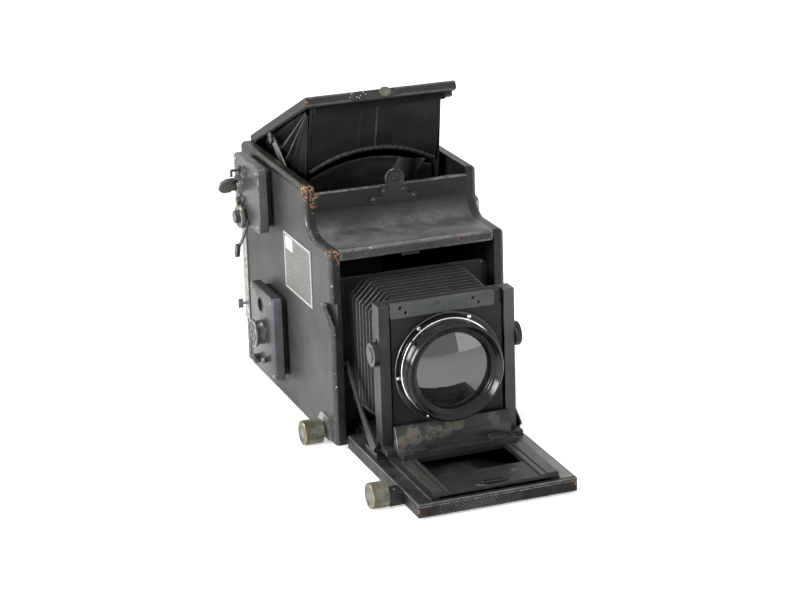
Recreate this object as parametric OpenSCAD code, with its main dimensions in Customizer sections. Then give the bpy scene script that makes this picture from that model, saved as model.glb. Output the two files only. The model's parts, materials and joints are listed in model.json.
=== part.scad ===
// Large-format single-lens reflex camera with a folding bed, a hood and a revolving back.
// The front faces -Y, the winding side is -X, and lengths along Y below are taken from
// the body's front plane. Every module is drawn in that way and then set over the tripod socket.

/* [Body] */
// Width over both sides
body_w = 165; // [155:1:180]
// Depth of the case without its back
body_d = 250; // [245:1:265]
// Height of the side rims round the hood
rim_h = 222; // [220:0.5:232]
// Height of the roof over the bellows
roof_h = 179.5; // [177:0.5:184]
// Thickness of each side
side_t = 10; // [8:0.5:12]
// Thickness of the floor
floor_t = 5; // [5:0.5:7]
// Thickness of the roof and of the hood's front wall
roof_t = 6; // [5:0.5:7]
// Distance of the hood's front wall behind the front plane
well_y = 63; // [60:1:66]
// Height of the hood's front wall
wall_h = 215.5; // [212:0.5:216]
// Radius of the hollow curve between wall and roof
ogee_r = 19.5; // [17:0.5:22]
// Radius of the rounded edges of the sides
edge_r = 5; // [3:0.5:6]
// Distance of the tripod socket behind the front plane
socket_y = 120; // [100:1:140]
// Height of the feet under the case
feet_h = 5; // [5:0.25:7]
// Radius of the feet
feet_r = 6; // [5:0.5:8]
// Radius of the tripod thread
socket_r = 3.175; // [3.175, 4.76]
// Radius of the tripod bush
bush_r = 9; // [7:0.5:12]
// Length of the tripod thread
bush_l = 8; // [7:0.5:12]

/* [Hood] */
// Width of the lid
lid_w = 143; // [138:0.5:144]
// Length of the lid
lid_l = 186; // [183:0.5:186]
// Thickness of the lid
lid_t = 9; // [8:0.5:10]
// Angle at which the lid stands open
lid_open = 23.2; // [20:0.1:25]
// Depth of the hollow under the lid
lid_hollow = 4.5; // [3:0.5:6]
// Width of the leather front panel
hood_w = 125; // [115:1:127]
// Thickness of the hood leather
hood_t = 2.2; // [1.5:0.1:3]
// Height of the arch over the leather's sides
arch_h = 17; // [12:1:20]
// Length of each lid stay between its pivots
stay_l = 66; // [62:1:68]
// Width of each lid stay
stay_w = 9; // [7:0.5:10]
// Thickness of each lid stay
stay_t = 1.6; // [1.2:0.1:2]
// Radius of the lid catch disc
catch_r = 9; // [7:0.5:10]

/* [Mirror and screen] */
// Length of the mirror from pivot to free edge
mirror_l = 158; // [150:1:159]
// Width of the mirror
mirror_w = 128; // [120:1:132]
// Thickness of the mirror glass
mirror_glass_t = 3; // [2:0.5:4]
// Height of the mirror pivot
mirror_z = 145; // [143:0.5:147]
// Length of the ground glass
screen_l = 112; // [106:1:114]
// Width of the ground glass
screen_w = 118; // [110:1:122]
// Thickness of the ground glass
screen_t = 2.5; // [2:0.5:3]

/* [Shutter and back] */
// Radius of the curtain rollers
roller_r = 6; // [5:0.5:6.5]
// Height of the upper roller
roller_top_z = 190; // [188:1:193]
// Height of the lower roller
roller_low_z = 13; // [12.5:0.5:15]
// Width of the curtain
curtain_w = 132; // [128:1:134]
// Thickness of the curtain
curtain_t = 0.6; // [0.5:0.1:0.8]
// Side of the square film gate
gate_w = 118; // [112:1:120]
// Thickness of the fixed back
back_t = 7; // [6:0.5:9]
// Height of the fixed back
back_h = 166; // [162:1:168]
// Radius of the revolving disc
turn_r = 72; // [70:1:74]
// Width of the plate holder
holder_w = 114; // [110:1:116]
// Height of the plate holder
holder_h = 122; // [118:1:124]
// Thickness of the plate holder
holder_t = 9; // [8:0.5:11]

/* [Bed and track] */
// Width of the bed
bed_w = 143.5; // [141:0.5:144.5]
// Length of the bed
bed_l = 173; // [168:1:175]
// Thickness of the bed
bed_t = 12.3; // [12:0.1:12.6]
// Height of the bed's underside over the case's
bed_z = -3.3; // [-3.6:0.1:-3]
// Thickness of the bed board
board_t = 6.4; // [6:0.2:7]
// Width of the bare strip on each side of the bed
strip_w = 14; // [12:0.5:14]
// Width of each rail
rail_w = 16.4; // [15:0.2:17]
// Thickness of each rail
rail_t = 3.8; // [3:0.2:4.5]
// Radius of the pinion shafts
shaft_r = 2; // [1.5:0.1:2.2]
// Height of the pinion shafts
shaft_z = 6.5; // [6.4:0.1:7]
// Distance of the bed's pinion before the front plane
bed_pinion_y = 133.5; // [131:0.5:136]
// Distance of the body's pinion behind the front plane
body_pinion_y = 28; // [25:1:32]
// Travel of the track
travel = 34; // [28:1:35]
// Radius of the focusing knobs
knob_r = 11.25; // [10:0.25:12]
// Length of the focusing knobs
knob_l = 17; // [14:0.5:18]

/* [Standard] */
// Width over the uprights
std_w = 125.2; // [122:0.2:127]
// Width of each upright
post_w = 9.6; // [8:0.2:10]
// Depth of each upright
post_d = 15; // [14:0.5:16]
// Height of the standard's top
std_top = 147; // [144:0.5:150]
// Distance of the uprights' front before the front plane
std_y = 67; // [65:0.5:69]
// Travel of the rising front
rise = 12; // [8:0.5:13]
// Height of the clip bar over the lens board
clip_h = 12; // [10:0.5:12]
// Radius of the rise clamp discs
clamp_r = 10.7; // [9:0.1:11.5]
// Height of the rise clamps
clamp_z = 103; // [100:1:106]
// Number of bellows pleats
pleats = 9; // [7:1:11]
// Depth of each bellows pleat
pleat_d = 5; // [3.5:0.5:6]

/* [Lens] */
// Height of the lens axis
lens_z = 85; // [83:0.5:87]
// Radius of the lens flange
flange_r = 49.5; // [48.5:0.25:50]
// Thickness of the lens flange
flange_t = 3; // [2.5:0.25:4]
// Number of flange screws
flange_screws = 6; // [3:1:8]
// Radius of the bright ring on the flange
ring_r = 44; // [43:0.25:44.5]
// Radius of the barrel behind its front ring
barrel_r = 41.5; // [40:0.25:42]
// Radius of the barrel's front ring
front_r = 44.2; // [43:0.1:45]
// Length of the front ring
front_l = 7; // [6:0.5:9]
// Radius of the front glass
glass_r = 32; // [30:0.5:34]
// Length of the barrel behind the board
rear_l = 24; // [18:1:28]
// Radius of the rear glass
rear_glass_r = 25; // [22:0.5:27]

/* [Controls] */
// Depth of both raised control housings
housing_d = 15; // [14:0.5:16]
// Wall of both control housings
housing_wall = 2; // [1.5:0.1:2.2]
// Length of the upper housing along the body
upper_l = 74; // [72:1:78]
// Height of the upper housing
upper_h = 63; // [60:1:64]
// Length of the lower housing along the body
lower_l = 69; // [66:1:72]
// Height of the lower housing
lower_h = 83; // [80:1:84]
// Radius of the tension knob
tension_r = 13; // [11:0.1:13.5]
// Radius of the aperture dial
dial_r = 11; // [10:0.2:12]
// Span of the winding key's wings
key_span = 22; // [18:1:24]
// Radius of the smaller spindles
spindle_r = 2; // [1.6:0.1:2.2]
// Length of the speed plate
speed_l = 75; // [70:1:78]
// Height of the speed plate
speed_h = 53; // [50:1:55]

/* [Fits] */
// Clearance round a turning shaft
fit = 0.05; // [0.03:0.01:0.09]
// Gap between bodies that pass each other
gap = 0.3; // [0.25:0.05:0.4]
// Thickness of plain sheet metal pieces
sheet = 1; // [0.8:0.1:1.2]
// Radius of the small screws' heads
screw_r = 1.7; // [1.4:0.1:2]
// Height of the small screws' heads
screw_h = 0.8; // [0.6:0.1:1]

/* [Hidden] */
$fn = 64;
cut = 1;

// Case
half = body_w/2;
inner = half - side_t;
seat_d = 7;
short_seat = 3;
seat_end = 0.5;
bush_lip = 4;
rear_t = 4;
rear_drop = 2;
well_lap = 3;
screen_seat = 3;
cover_in = 1;
cover_up = 3;
cover_r = 2;
film_y = body_d + back_t;
well_z = roof_h - 1.5;
well_floor_t = 6;
well_back = body_d - 24;
well_wall_t = 3;
well_lid_z = wall_h - 6.5;
notch_x = 6.5;
notch = [[-cut, 112], [4, 112], [21, 124], [21, 128], [-cut, 132]];
bellows_y = 15;
frame_t = 3;
frame_top = roof_h - 29.5;
frame_x = 50;
frame_z = [34, 140];
feet_in = 18;
handle_y = [well_y + 7, body_d - 70];
handle_z = [roof_h - 11.5, roof_h + 6.5];
handle_end = 26;

// Lid, stays and hood
hinge_y = body_d + 3;
hinge_z = wall_h + gap + 2.2;
hinge_r = 2.2;
hinge_pin_r = 1.2;
leaf_half = 60;
knuckle = 20;
leaf_t = 1.6;
leaf_bend = 9;
leaf_z = hinge_z - 24;
leaf_x = leaf_half - knuckle/2;
lid_y0 = body_d - lid_l;
lid_z0 = wall_h + gap;
lid_z1 = lid_z0 + lid_t;
lid_lip = 13;
lid_side = 5.2;
lid_back = 10;
latch_x = [-30, 14];
latch_t = 0.6;
latch_in = 0.8;
latch_r = 2;
latch_rivet_x = latch_x[0] + 4;
rivet_h = 0.2;
lug_x = shift(lid_w/2, [-15.5, -2.5]);
lug_y = [6, 14];
lug_h = 4;
ear_in = 0.6;
ear_top = 0.5;
stay_y = body_d - 60;
stay_drop = stay_w/2 + 0.8;
stay_z = lid_z0 - stay_drop;
stay_x = lid_w/2 - 4.3;
stud_r = 1.5;
groove_h = 8;
groove_d = 3;
groove_y0 = body_d - 134;
groove_y1 = body_d - 106;
groove_mid = stay_z - 9.5;
lean = 14.8;
hood_y = lid_y0 + 47.4;
hood_z = wall_h + 6.5;
hood_len = 66;
roll_r = 2.4;
arch_c = hood_w/2 - 4;
arch_r = (arch_c*arch_c + arch_h*arch_h)/(2*arch_h);
skirt_y = hood_y + 3;
skirt_x = hood_w/2 - 3;
skirt_top = hood_z - 8;
gusset_lap = 1;
gusset_x = hood_w/2 + 0.4;
catch_x = 2;
catch_z = wall_h + 6;
catch_plate_z = roof_h + ogee_r + 0.2;
catch_plate_h = wall_h - catch_plate_z;
catch_plate_w = 23;
catch_tab_w = 5.5;
catch_corner = 3;
catch_steps = [[catch_plate_w, [0, 0.45]], [catch_plate_w/2, [0.05, 0.9]]];
catch_screws = [[catch_plate_w - 4, 0.23], [catch_plate_w/2 - 2.5, 0.66]];
disc_step = 1;
disc_rim = 3;
plate_t = 1.5;
disc_t = 3.7;
tongue_x = [-13.6, 2.3];
tongue_top = roof_h - roof_t - 2.3;
stem_x = [-9, -3];
stem_y = [6, 8.5];
stem_cover = 2;
tongue_y = [2, 6];
tongue_h = 4;

// Mirror, screen, shutter and back
mirror_y = body_d - 28;
mirror_shaft_r = 2.5;
mirror_rim = 2;
roller_spare = 3;
curtain_edge = 8;
screen_y = mirror_y - 60;
frame_rim = 6;
roller_y = body_d - 11;
curtain_y = roller_y - roller_r - gap;
slit_z = 66;
slit_h = 12;
turn_lip = 3;
turn_lip_t = 2;
holder_y = film_y + turn_lip_t + gap;
slide_t = 0.8;
slide_w = holder_w - 10;
slide_y = holder_y + 3;
plate_w = 102;
plate_h = 112;
strip_y0 = body_d - 7;
strip_z = [44, 150];
strip_screws = [[4, 22], [9, 46]];
back_screw_z = 59;
screw_end = 4;
wing_x = [4, 9];
wing_z = 4.5;
back_z0 = 1;
holder_sill = 5;
holder_low = lens_z - holder_h/2 + holder_sill;
holder_top = lens_z + holder_h/2;

// Gears
gear_n = 27;
gear_m = 1.5;
gear_r = gear_n*gear_m/2;
roller_n = 9;
small_n = 9;
small_m = 0.8;
small_r = small_n*small_m/2;
idler_n = 29;
idler_r = idler_n*small_m/2;
pocket_x = 6;
pocket_r = gear_r + 2;
small_pocket_r = roller_n*gear_m/2 + 2;
train_x = [-90, -87];
gear_w = 3.5;
wind_x = shift(-inner - pocket_x + 1, [0, gear_w]);

// Control housings
face_x = half + housing_d;
key_y = roller_y - gear_r - roller_n*gear_m/2;
key_z = roller_top_z;
dial_y = key_y - 14;
dial_z = key_z - 27;
idler_y = (key_y + dial_y)/2;
idler_z = (key_z + dial_z)/2;
train_a = atan2(idler_z - key_z, idler_y - key_y);
upper_y0 = key_y - 62;
upper_z0 = dial_z - 6.4;
lower_y0 = 122;
lower_z0 = 20;
housing_r = 7;
tension_y = 160;
tension_z = 60;
number_r = 28;
window_z = 87;
window_r = 6.5;
knob_t = 9;
stud_l = 5;
stud_y = 146;
stud_z = 37;
corner_in = 6;
release_y = 173;
release_z = 30;
release_r = 4.6;
lever_t = 1.4;
boss_l = 6.5;
boss_r = 5.5;
wing_l = 12;
wing_t = 3;
cap_l = 5;
cap_r = 3.6;
dial_l = 4;
dial_knob_l = 4;
hook_l = 8.5;
hook_drop = 6;
wire_r = 1.3;
plate_sheet = 0.8;
hook_y = key_y - 7;
hook_z = key_z + 16;
speed_y0 = 48.5;
speed_z0 = 114;
plate_pin_r = 0.9;
pin_in = 3;
pin_h = 0.3;

// Bed, rack, rails and braces
bed_rear = -2;
bed_front = bed_rear - bed_l;
bed_top = bed_z + bed_t;
board_top = bed_z + board_t;
front_strip = 5;
pitch_r = small_r;
pitch_z = shaft_z + pitch_r;
tooth_pitch = PI*small_m;
bite = 0.6;
root_z = pitch_z + 0.9;
strip_x = bed_w/2 - strip_w;
rail_out = strip_x - gap;
rail_in = rail_out - rail_w;
rail_top = root_z + rail_t;
rack_x = shift(rail_in, [1.5, 9.5]);
both_racks = [rack_x, [-rack_x[1], -rack_x[0]]];
pinion_room = pitch_r + 1.5;
pinion_floor = 1.5;
foot_in = rail_out - 6;
foot_z = shaft_z + shaft_r + 2*gap;
rail_front = bed_front + front_strip + gap;
rail_rear = 62;
cross_l = 36;
cross_t = 3;
rack_spare = 5;
knob_face = half + 21.5;
bed_knob_face = bed_w/2 + 27.7;
collar_r = 7;
housing_x = bed_w/2 + 12.6;
housing_half = 7.5;
brace_y = [4, -56];
brace_z = [75, 15];
brace_w = 7;
brace_t = 1.6;
brace_x = bed_w/2 - 3;
brace_foot = 11;
bracket_y = [-12, 16];
bracket_w = 8;
escutcheon_t = 1.5;
escutcheon_r = 16;
shaft_seat = 5;
guide_w = 4.25;
guide_l = 101;
guide_top = 13;
scale_l = 112;
scale_in = 3;
scale_t = 0.6;
hinge_line = [-1, -1.7];
bed_knuckle_r = 1.5;
leaf_l = 12;
finger_x = 12;
finger_r = 4;
finger_t = 1.6;
finger_rim = 3;
finger_stem = 3;
finger_slot = [3, 9];

// Standard and lens
post_x = std_w/2 - post_w;
post_y = [-std_y, post_d - std_y];
groove_c = 7 - std_y;
carrier_z0 = 37;
carrier_t = 6;
carrier_y = 5 - std_y;
board_y = carrier_y - 3.5;
tongue = 1.6;
tongue_w = 3.4;
back_t2 = 3;
bar_z = 38.5;
bar_y = [-std_y - 11, -std_y - 2];
base_t = 5;
foot_x = 30;
foot_w = 14;
foot_h = 7.5;
foot_y = [-std_y - 25, -std_y - 13];
board_x = post_x - 2;
clamp_t = 5.5;
clip_t = 5;
clip_holes = [[-43, 3], [-38, 8], [25, 3], [30, 8]];
clip_screw_x = -8.6;
opening_x = 47;
opening_z = [39, 141];
bellows_w = [119, 114];
bellows_z = [[21, 149], [27, 146]];
bellows_corner = 15;
skin = 1.4;
rear_r = 30;
ring_t = 3;
barrel_l = 8.5;
glass_edge = 4;
bulge = 5;

// Drawing helpers: a box between limits, outlines drawn along an axis, rods and arcs
module span(x, y, z) {
    translate([x[0], y[0], z[0]]) cube([x[1] - x[0], y[1] - y[0], z[1] - z[0]]);
}
module along_x(x) {
    translate([x[0], 0, 0]) rotate([90, 0, 90]) linear_extrude(x[1] - x[0]) children();
}
module along_y(y) {
    translate([0, y[1], 0]) rotate([90, 0, 0]) linear_extrude(y[1] - y[0]) children();
}
module along_z(z) {
    translate([0, 0, z[0]]) linear_extrude(z[1] - z[0]) children();
}
module rod_x(x, y, z, r) {
    translate([x[0], y, z]) rotate([0, 90, 0]) cylinder(r = r, h = x[1] - x[0]);
}
module rod_y(y, x, z, r) {
    translate([x, y[1], z]) rotate([90, 0, 0]) cylinder(r = r, h = y[1] - y[0]);
}
module rod_z(z, x, y, r) {
    translate([x, y, z[0]]) cylinder(r = r, h = z[1] - z[0]);
}
module both_sides() {
    children();
    mirror([1, 0, 0]) children();
}
module placed() {
    translate([0, -socket_y, 0]) children();
}
module at_hinge(turn) {
    translate([0, hinge_y, hinge_z]) rotate([turn, 0, 0]) translate([0, -hinge_y, -hinge_z]) children();
}
function pm(c, d) = [c - d, c + d];
function shift(c, v) = [c + v[0], c + v[1]];
function arc(c, r, a, b, n = 8) = [for (i = [0:n]) c + r*[cos(a + (b - a)*i/n), sin(a + (b - a)*i/n)]];
function round_box(x, y, r) = concat(
    arc([x[1] - r, y[1] - r], r, 0, 90), arc([x[0] + r, y[1] - r], r, 90, 180),
    arc([x[0] + r, y[0] + r], r, 180, 270), arc([x[1] - r, y[0] + r], r, 270, 360));
function about(p, a, v) = p + [v[0]*cos(a) - v[1]*sin(a), v[0]*sin(a) + v[1]*cos(a)];

// Gear outline: trapezoid teeth, the first on the +Y side, with room to run freely
function gear_points(n, m) = [for (i = [0:n - 1], c = [[-0.3, -0.9], [-0.13, 0.6], [0.13, 0.6], [0.3, -0.9]])
    let (a = 360*(i + c[0])/n, r = n*m/2 + c[1]*m) r*[cos(a), sin(a)]];
module gear(x, y, z, n, m, turn = 0) {
    translate([0, y, z]) rotate([turn, 0, 0]) along_x(x) polygon(gear_points(n, m));
}

// Case panels
function case_outline() = concat([[0, 0], [body_d, 0]],
    arc([body_d - edge_r, rim_h - edge_r], edge_r, 0, 90),
    arc([well_y + edge_r, rim_h - edge_r], edge_r, 90, 180),
    arc([well_y - ogee_r, roof_h + ogee_r], ogee_r, 0, -90),
    arc([edge_r, roof_h - edge_r], edge_r, 90, 180));
module inner_seats() {
    for (s = [[roller_y, roller_top_z, spindle_r], [roller_y, roller_low_z, spindle_r],
            [mirror_y, mirror_z, mirror_shaft_r]])
        rod_x([inner - cut, inner + seat_d], s[0], s[1], s[2] + fit);
    span([inner - cut, inner + groove_d], [groove_y0, groove_y1],
        [groove_mid - groove_h/2, groove_mid + groove_h/2]);
}
module side_left() {
    color("dimgray") difference() {
        along_x([-half, -inner]) polygon(case_outline());
        along_x([-half - cut, -half + notch_x]) polygon(notch);
        mirror([1, 0, 0]) inner_seats();
        rod_x([-half - cut, -inner + cut], body_pinion_y, shaft_z, shaft_r + fit);
        rod_x([-half - cut, -inner + cut], key_y, key_z, spindle_r + fit);
        for (s = [[idler_y, idler_z], [dial_y, dial_z], [hook_y, hook_z]])
            rod_x([-half - cut, -half + short_seat], s[0], s[1], spindle_r + fit);
        for (s = [[tension_y, tension_z], [release_y, release_z]])
            rod_x([-half - cut, -half + seat_d], s[0], s[1], spindle_r + fit);
        rod_x([-inner - pocket_x, -inner + cut], key_y, key_z, pocket_r);
        rod_x([-inner - pocket_x, -inner + cut], roller_y, roller_top_z, small_pocket_r);
    }
}
module side_right() {
    color("dimgray") difference() {
        along_x([inner, half]) polygon(case_outline());
        inner_seats();
    }
}
module floor_board() {
    color("dimgray") difference() {
        span([-inner, inner], [0, body_d], [0, floor_t]);
        rod_z([-cut, floor_t + cut], 0, socket_y, bush_r);
        for (x = both_racks)
            span([x[0] - 2*gap, x[1] + 2*gap], pm(body_pinion_y, pinion_room), [pinion_floor, floor_t + cut]);
        span([-inner, strip_x + guide_w], pm(body_pinion_y, shaft_r + gap),
            [shaft_z - shaft_r - gap, floor_t + cut]);
    }
}
module case_feet() {
    color("dimgray") both_sides() for (y = [feet_in, body_d - feet_in])
        rod_z([-feet_h, 0], half - feet_in, y, feet_r);
}
module tripod_bush() {
    color("darkgoldenrod") difference() {
        union() {
            rod_z([0, bush_l], 0, socket_y, bush_r);
            rod_z([floor_t, bush_l], 0, socket_y, bush_r + bush_lip);
        }
        rod_z([-cut, bush_l + cut], 0, socket_y, socket_r);
    }
}
module roof_front() {
    outer = concat(arc([edge_r, roof_h - edge_r], edge_r, 180, 90),
        arc([well_y - ogee_r, roof_h + ogee_r], ogee_r, -90, 0), [[well_y, wall_h]]);
    hollow = concat([[well_y + roof_t, wall_h]],
        arc([well_y - ogee_r, roof_h + ogee_r], ogee_r + roof_t, 0, -90), [[0, roof_h - roof_t]]);
    color("dimgray") difference() {
        along_x([-inner, inner]) polygon(concat(outer, hollow));
        span([stem_x[0] - gap, stem_x[1] + gap], [stem_y[0] - gap, stem_y[1] + gap],
            [roof_h - roof_t - cut, roof_h - stem_cover]);
    }
}
module rear_panel() {
    color("dimgray") difference() {
        span([-inner, inner], [body_d - rear_t, body_d], [floor_t, wall_h - rear_drop]);
        span([-gate_w/2, gate_w/2], [body_d - rear_t - cut, body_d + cut], pm(lens_z, gate_w/2));
    }
}
module well_floor() {
    color([0.12, 0.12, 0.12]) difference() {
        span([-inner, inner], [well_y + roof_t - well_lap, well_back], [well_z - well_floor_t, well_z]);
        span([-1, 1]*(screen_w/2 - screen_seat), pm(screen_y, screen_l/2 - screen_seat),
            [well_z - well_floor_t - cut, well_z + cut]);
        span([-screen_w/2, screen_w/2], pm(screen_y, screen_l/2), [well_z - screen_t, well_z + cut]);
    }
}
module well_rear() {
    color([0.12, 0.12, 0.12]) {
        span([-inner, inner], [well_back, well_back + well_wall_t], [well_z - well_floor_t, well_lid_z]);
        span([-inner, inner], [well_back + well_wall_t, body_d - rear_t], [well_lid_z - well_wall_t, well_lid_z]);
    }
}
module screen_glass() {
    color([0.85, 0.88, 0.85])
        span([-screen_w/2, screen_w/2], pm(screen_y, screen_l/2), [well_z - screen_t, well_z]);
}
module well_fittings() {
    color([0.2, 0.2, 0.2]) difference() {
        span([-1, 1]*(screen_w/2 + frame_rim), pm(screen_y, screen_l/2 + frame_rim/2), [well_z, well_z + sheet]);
        span([-1, 1]*(screen_w/2 - frame_rim), pm(screen_y, screen_l/2 - frame_rim),
            [well_z - cut, well_z + sheet + cut]);
    }
    color([0.2, 0.2, 0.2]) along_x([-inner, -inner + sheet])
        polygon(round_box([key_y - pocket_r - cover_in, well_back],
            [well_z + sheet, key_z + pocket_r + cover_up], cover_r));
}

// Lid catch, lid, its fittings, hinge and stays
module catch_plate() {
    color("gray") difference() {
        along_y([well_y - plate_t, well_y]) {
            for (step = catch_steps)
                polygon(round_box(pm(catch_x, step[0]), shift(catch_plate_z, catch_plate_h*step[1]), catch_corner));
            polygon(round_box(pm(catch_x, catch_tab_w), [catch_plate_z + catch_plate_h*0.4, catch_z + 4],
                catch_corner));
        }
        rod_y([well_y - plate_t - cut, well_y + cut], catch_x, catch_z, spindle_r + fit);
    }
    color("silver") for (p = catch_screws, side = [-1, 1])
        rod_y([well_y - plate_t - screw_h, well_y - plate_t], catch_x + side*p[0],
            catch_plate_z + catch_plate_h*p[1], screw_r);
}
module lid_catch() {
    y = well_y - plate_t - gap;
    color("gray") {
        rod_y([y - disc_t, y], catch_x, catch_z, catch_r);
        rod_y([y - disc_t - disc_step, y - disc_t], catch_x, catch_z, catch_r - disc_rim);
        rod_y([y, well_y], catch_x, catch_z, spindle_r);
    }
}
module lid_board() {
    color([0.16, 0.16, 0.16]) at_hinge(-lid_open) difference() {
        span([-lid_w/2, lid_w/2], [lid_y0, body_d], [lid_z0, lid_z1]);
        span([-1, 1]*(lid_w/2 - lid_side), [lid_y0 + lid_lip, body_d - lid_back],
            [lid_z0 - cut, lid_z0 + lid_hollow]);
    }
}
module lid_fittings() {
    color("darkkhaki") at_hinge(-lid_open) {
        along_y([lid_y0 - latch_t, lid_y0])
            polygon(round_box(latch_x, [lid_z0 + latch_in, lid_z1 - latch_in], latch_r));
        rod_y([lid_y0 - latch_t - rivet_h, lid_y0 - latch_t], latch_rivet_x, lid_z0 + lid_t/2, screw_r);
        span(lug_x, shift(lid_y0, lug_y), [lid_z0 - lug_h, lid_z0]);
        difference() {
            for (x = [-leaf_x*0.6, leaf_x*0.6]) {
                rod_x([x - knuckle/2 + gap, x + knuckle/2 - gap], hinge_y, hinge_z, hinge_r);
                span([x - knuckle/2 + gap, x + knuckle/2 - gap], [body_d, hinge_y], pm(hinge_z, hinge_pin_r));
            }
            rod_x([-leaf_half, leaf_half], hinge_y, hinge_z, hinge_pin_r + fit);
        }
        both_sides() difference() {
            union() {
                rod_x([stay_x + stay_t + gap, lid_w/2 - ear_in], stay_y, stay_z, stay_drop - ear_top);
                span([stay_x + stay_t + gap, lid_w/2 - ear_in], pm(stay_y, stay_drop - ear_top), [stay_z, lid_z0]);
            }
            rod_x([stay_x, lid_w/2 + cut], stay_y, stay_z, stud_r + fit);
        }
    }
}
module lid_hinge() {
    rear = hinge_y + 1.5;
    front = hinge_y - hinge_pin_r;
    leaf = [[body_d, leaf_z], [body_d + leaf_t, leaf_z], [body_d + leaf_t, hinge_z - leaf_bend - 2],
        [rear, hinge_z - leaf_bend + 3], [rear, hinge_z], [front, hinge_z], [front, hinge_z - leaf_bend + 4],
        [body_d, hinge_z - leaf_bend]];
    color("gray") {
        for (x = [-leaf_x, 0, leaf_x]) {
            along_x(pm(x, knuckle/2)) polygon(leaf);
            rod_x(pm(x, knuckle/2), hinge_y, hinge_z, hinge_r);
        }
        rod_x([-leaf_half, leaf_half], hinge_y, hinge_z, hinge_pin_r);
    }
}
module stay(side) {
    p = about([hinge_y, hinge_z], -lid_open, [stay_y - hinge_y, stay_z - hinge_z]);
    q = [p[0] - sqrt(stay_l*stay_l - pow(p[1] - groove_mid, 2)), groove_mid];
    a = atan2(q[1] - p[1], q[0] - p[0]);
    color("silver") mirror([side < 0 ? 1 : 0, 0, 0]) {
        along_x([stay_x, stay_x + stay_t]) translate(p) rotate(a)
            polygon(concat(arc([stay_l, 0], stay_w/2, -90, 90), arc([0, 0], stay_w/2, 90, 270)));
        rod_x([stay_x, lid_w/2 - 1], p[0], p[1], stud_r);
        rod_x([stay_x, inner + groove_d - 1], q[0], q[1], stud_r);
    }
}
module stay_left() { stay(-1); }
module stay_right() { stay(1); }

// Hood leather
function arch(w, rise_of_arch) = let (c = w/2 - 4, h = rise_of_arch, r = (c*c + h*h)/(2*h), a = asin(c/r))
    arc([0, h - r], r, 90 - a, 90 + a, 16);
module hood_front() {
    a = asin(arch_c/arch_r);
    color([0.14, 0.14, 0.15]) translate([0, hood_y, hood_z]) rotate([lean, 0, 0]) {
        along_y([-hood_t/2, hood_t/2]) polygon(concat([[hood_w/2, 0], [hood_w/2, hood_len],
            [-hood_w/2, hood_len], [-hood_w/2, 0]], [for (p = arch(hood_w, arch_h)) [-p[0], p[1]]]));
        translate([0, 0, arch_h - arch_r]) rotate([90, 0, 0]) rotate([0, 0, 90 - a])
            rotate_extrude(angle = 2*a) translate([arch_r, 0]) circle(r = roll_r, $fn = 20);
    }
    color([0.12, 0.12, 0.13]) translate([0, skirt_y, 0]) along_y([0, hood_t])
        polygon(concat([[-skirt_x, well_z + sheet], [skirt_x, well_z + sheet], [skirt_x, skirt_top]],
            [for (p = arch(2*skirt_x, arch_h - 2)) [p[0], skirt_top + p[1]]], [[-skirt_x, skirt_top]]));
}
module hood_sides() {
    top = [for (y = [lid_y0 + 18, body_d - 14])
        about([hinge_y, hinge_z], -lid_open, [y - hinge_y, lid_z0 + 1 - hinge_z])];
    color([0.13, 0.13, 0.14]) both_sides() along_x([gusset_x, gusset_x + hood_t])
        polygon([top[0], [hood_y + 4, well_z + sheet], [well_back - gusset_lap, well_z + sheet],
            [well_back - gusset_lap, well_lid_z + gusset_lap], top[1]]);
}

// Mirror and its lever
module at_mirror() {
    translate([0, mirror_y, mirror_z]) rotate([45, 0, 0]) children();
}
module mirror_frame() {
    color([0.2, 0.2, 0.2]) at_mirror() {
        span([-1, 1]*(mirror_w/2 + mirror_rim), [-mirror_l, 0], [-mirror_rim, 0]);
        both_sides() span([mirror_w/2, mirror_w/2 + mirror_rim], [-mirror_l, 0], [0, mirror_glass_t]);
        rod_x([-1, 1]*(mirror_w/2 + mirror_rim), 0, 0, mirror_shaft_r + mirror_rim);
        rod_x([-1, 1]*(inner + seat_d - seat_end), 0, 0, mirror_shaft_r);
    }
}
module mirror_glass() {
    color("lightsteelblue") at_mirror()
        span([-mirror_w/2, mirror_w/2], [-mirror_l, -mirror_shaft_r - mirror_rim - seat_end], [0, mirror_glass_t]);
}
module mirror_lever() {
    x = [-face_x - gap - lever_t, -face_x - gap];
    arm = [[dial_y - 15, dial_z - 2], [dial_y + 6, dial_z - 24], [dial_y + 20, dial_z - 36]];
    color("darkgray") difference() {
        union() {
            rod_x(x, dial_y, dial_z, 6);
            for (p = [[[dial_y, dial_z], arm[0]], [arm[0], arm[1]], [arm[1], arm[2]]]) hull() {
                for (q = p) rod_x(x, q[0], q[1], 1.8, $fn = 24);
            }
            hull() for (d = [0, 7]) rod_x([x[0] - 2, x[1]], arm[2][0] + d*0.45, arm[2][1] - d, 3.6, $fn = 32);
        }
        rod_x([x[0] - cut, x[1] + cut], dial_y, dial_z, spindle_r + fit);
    }
}

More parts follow.
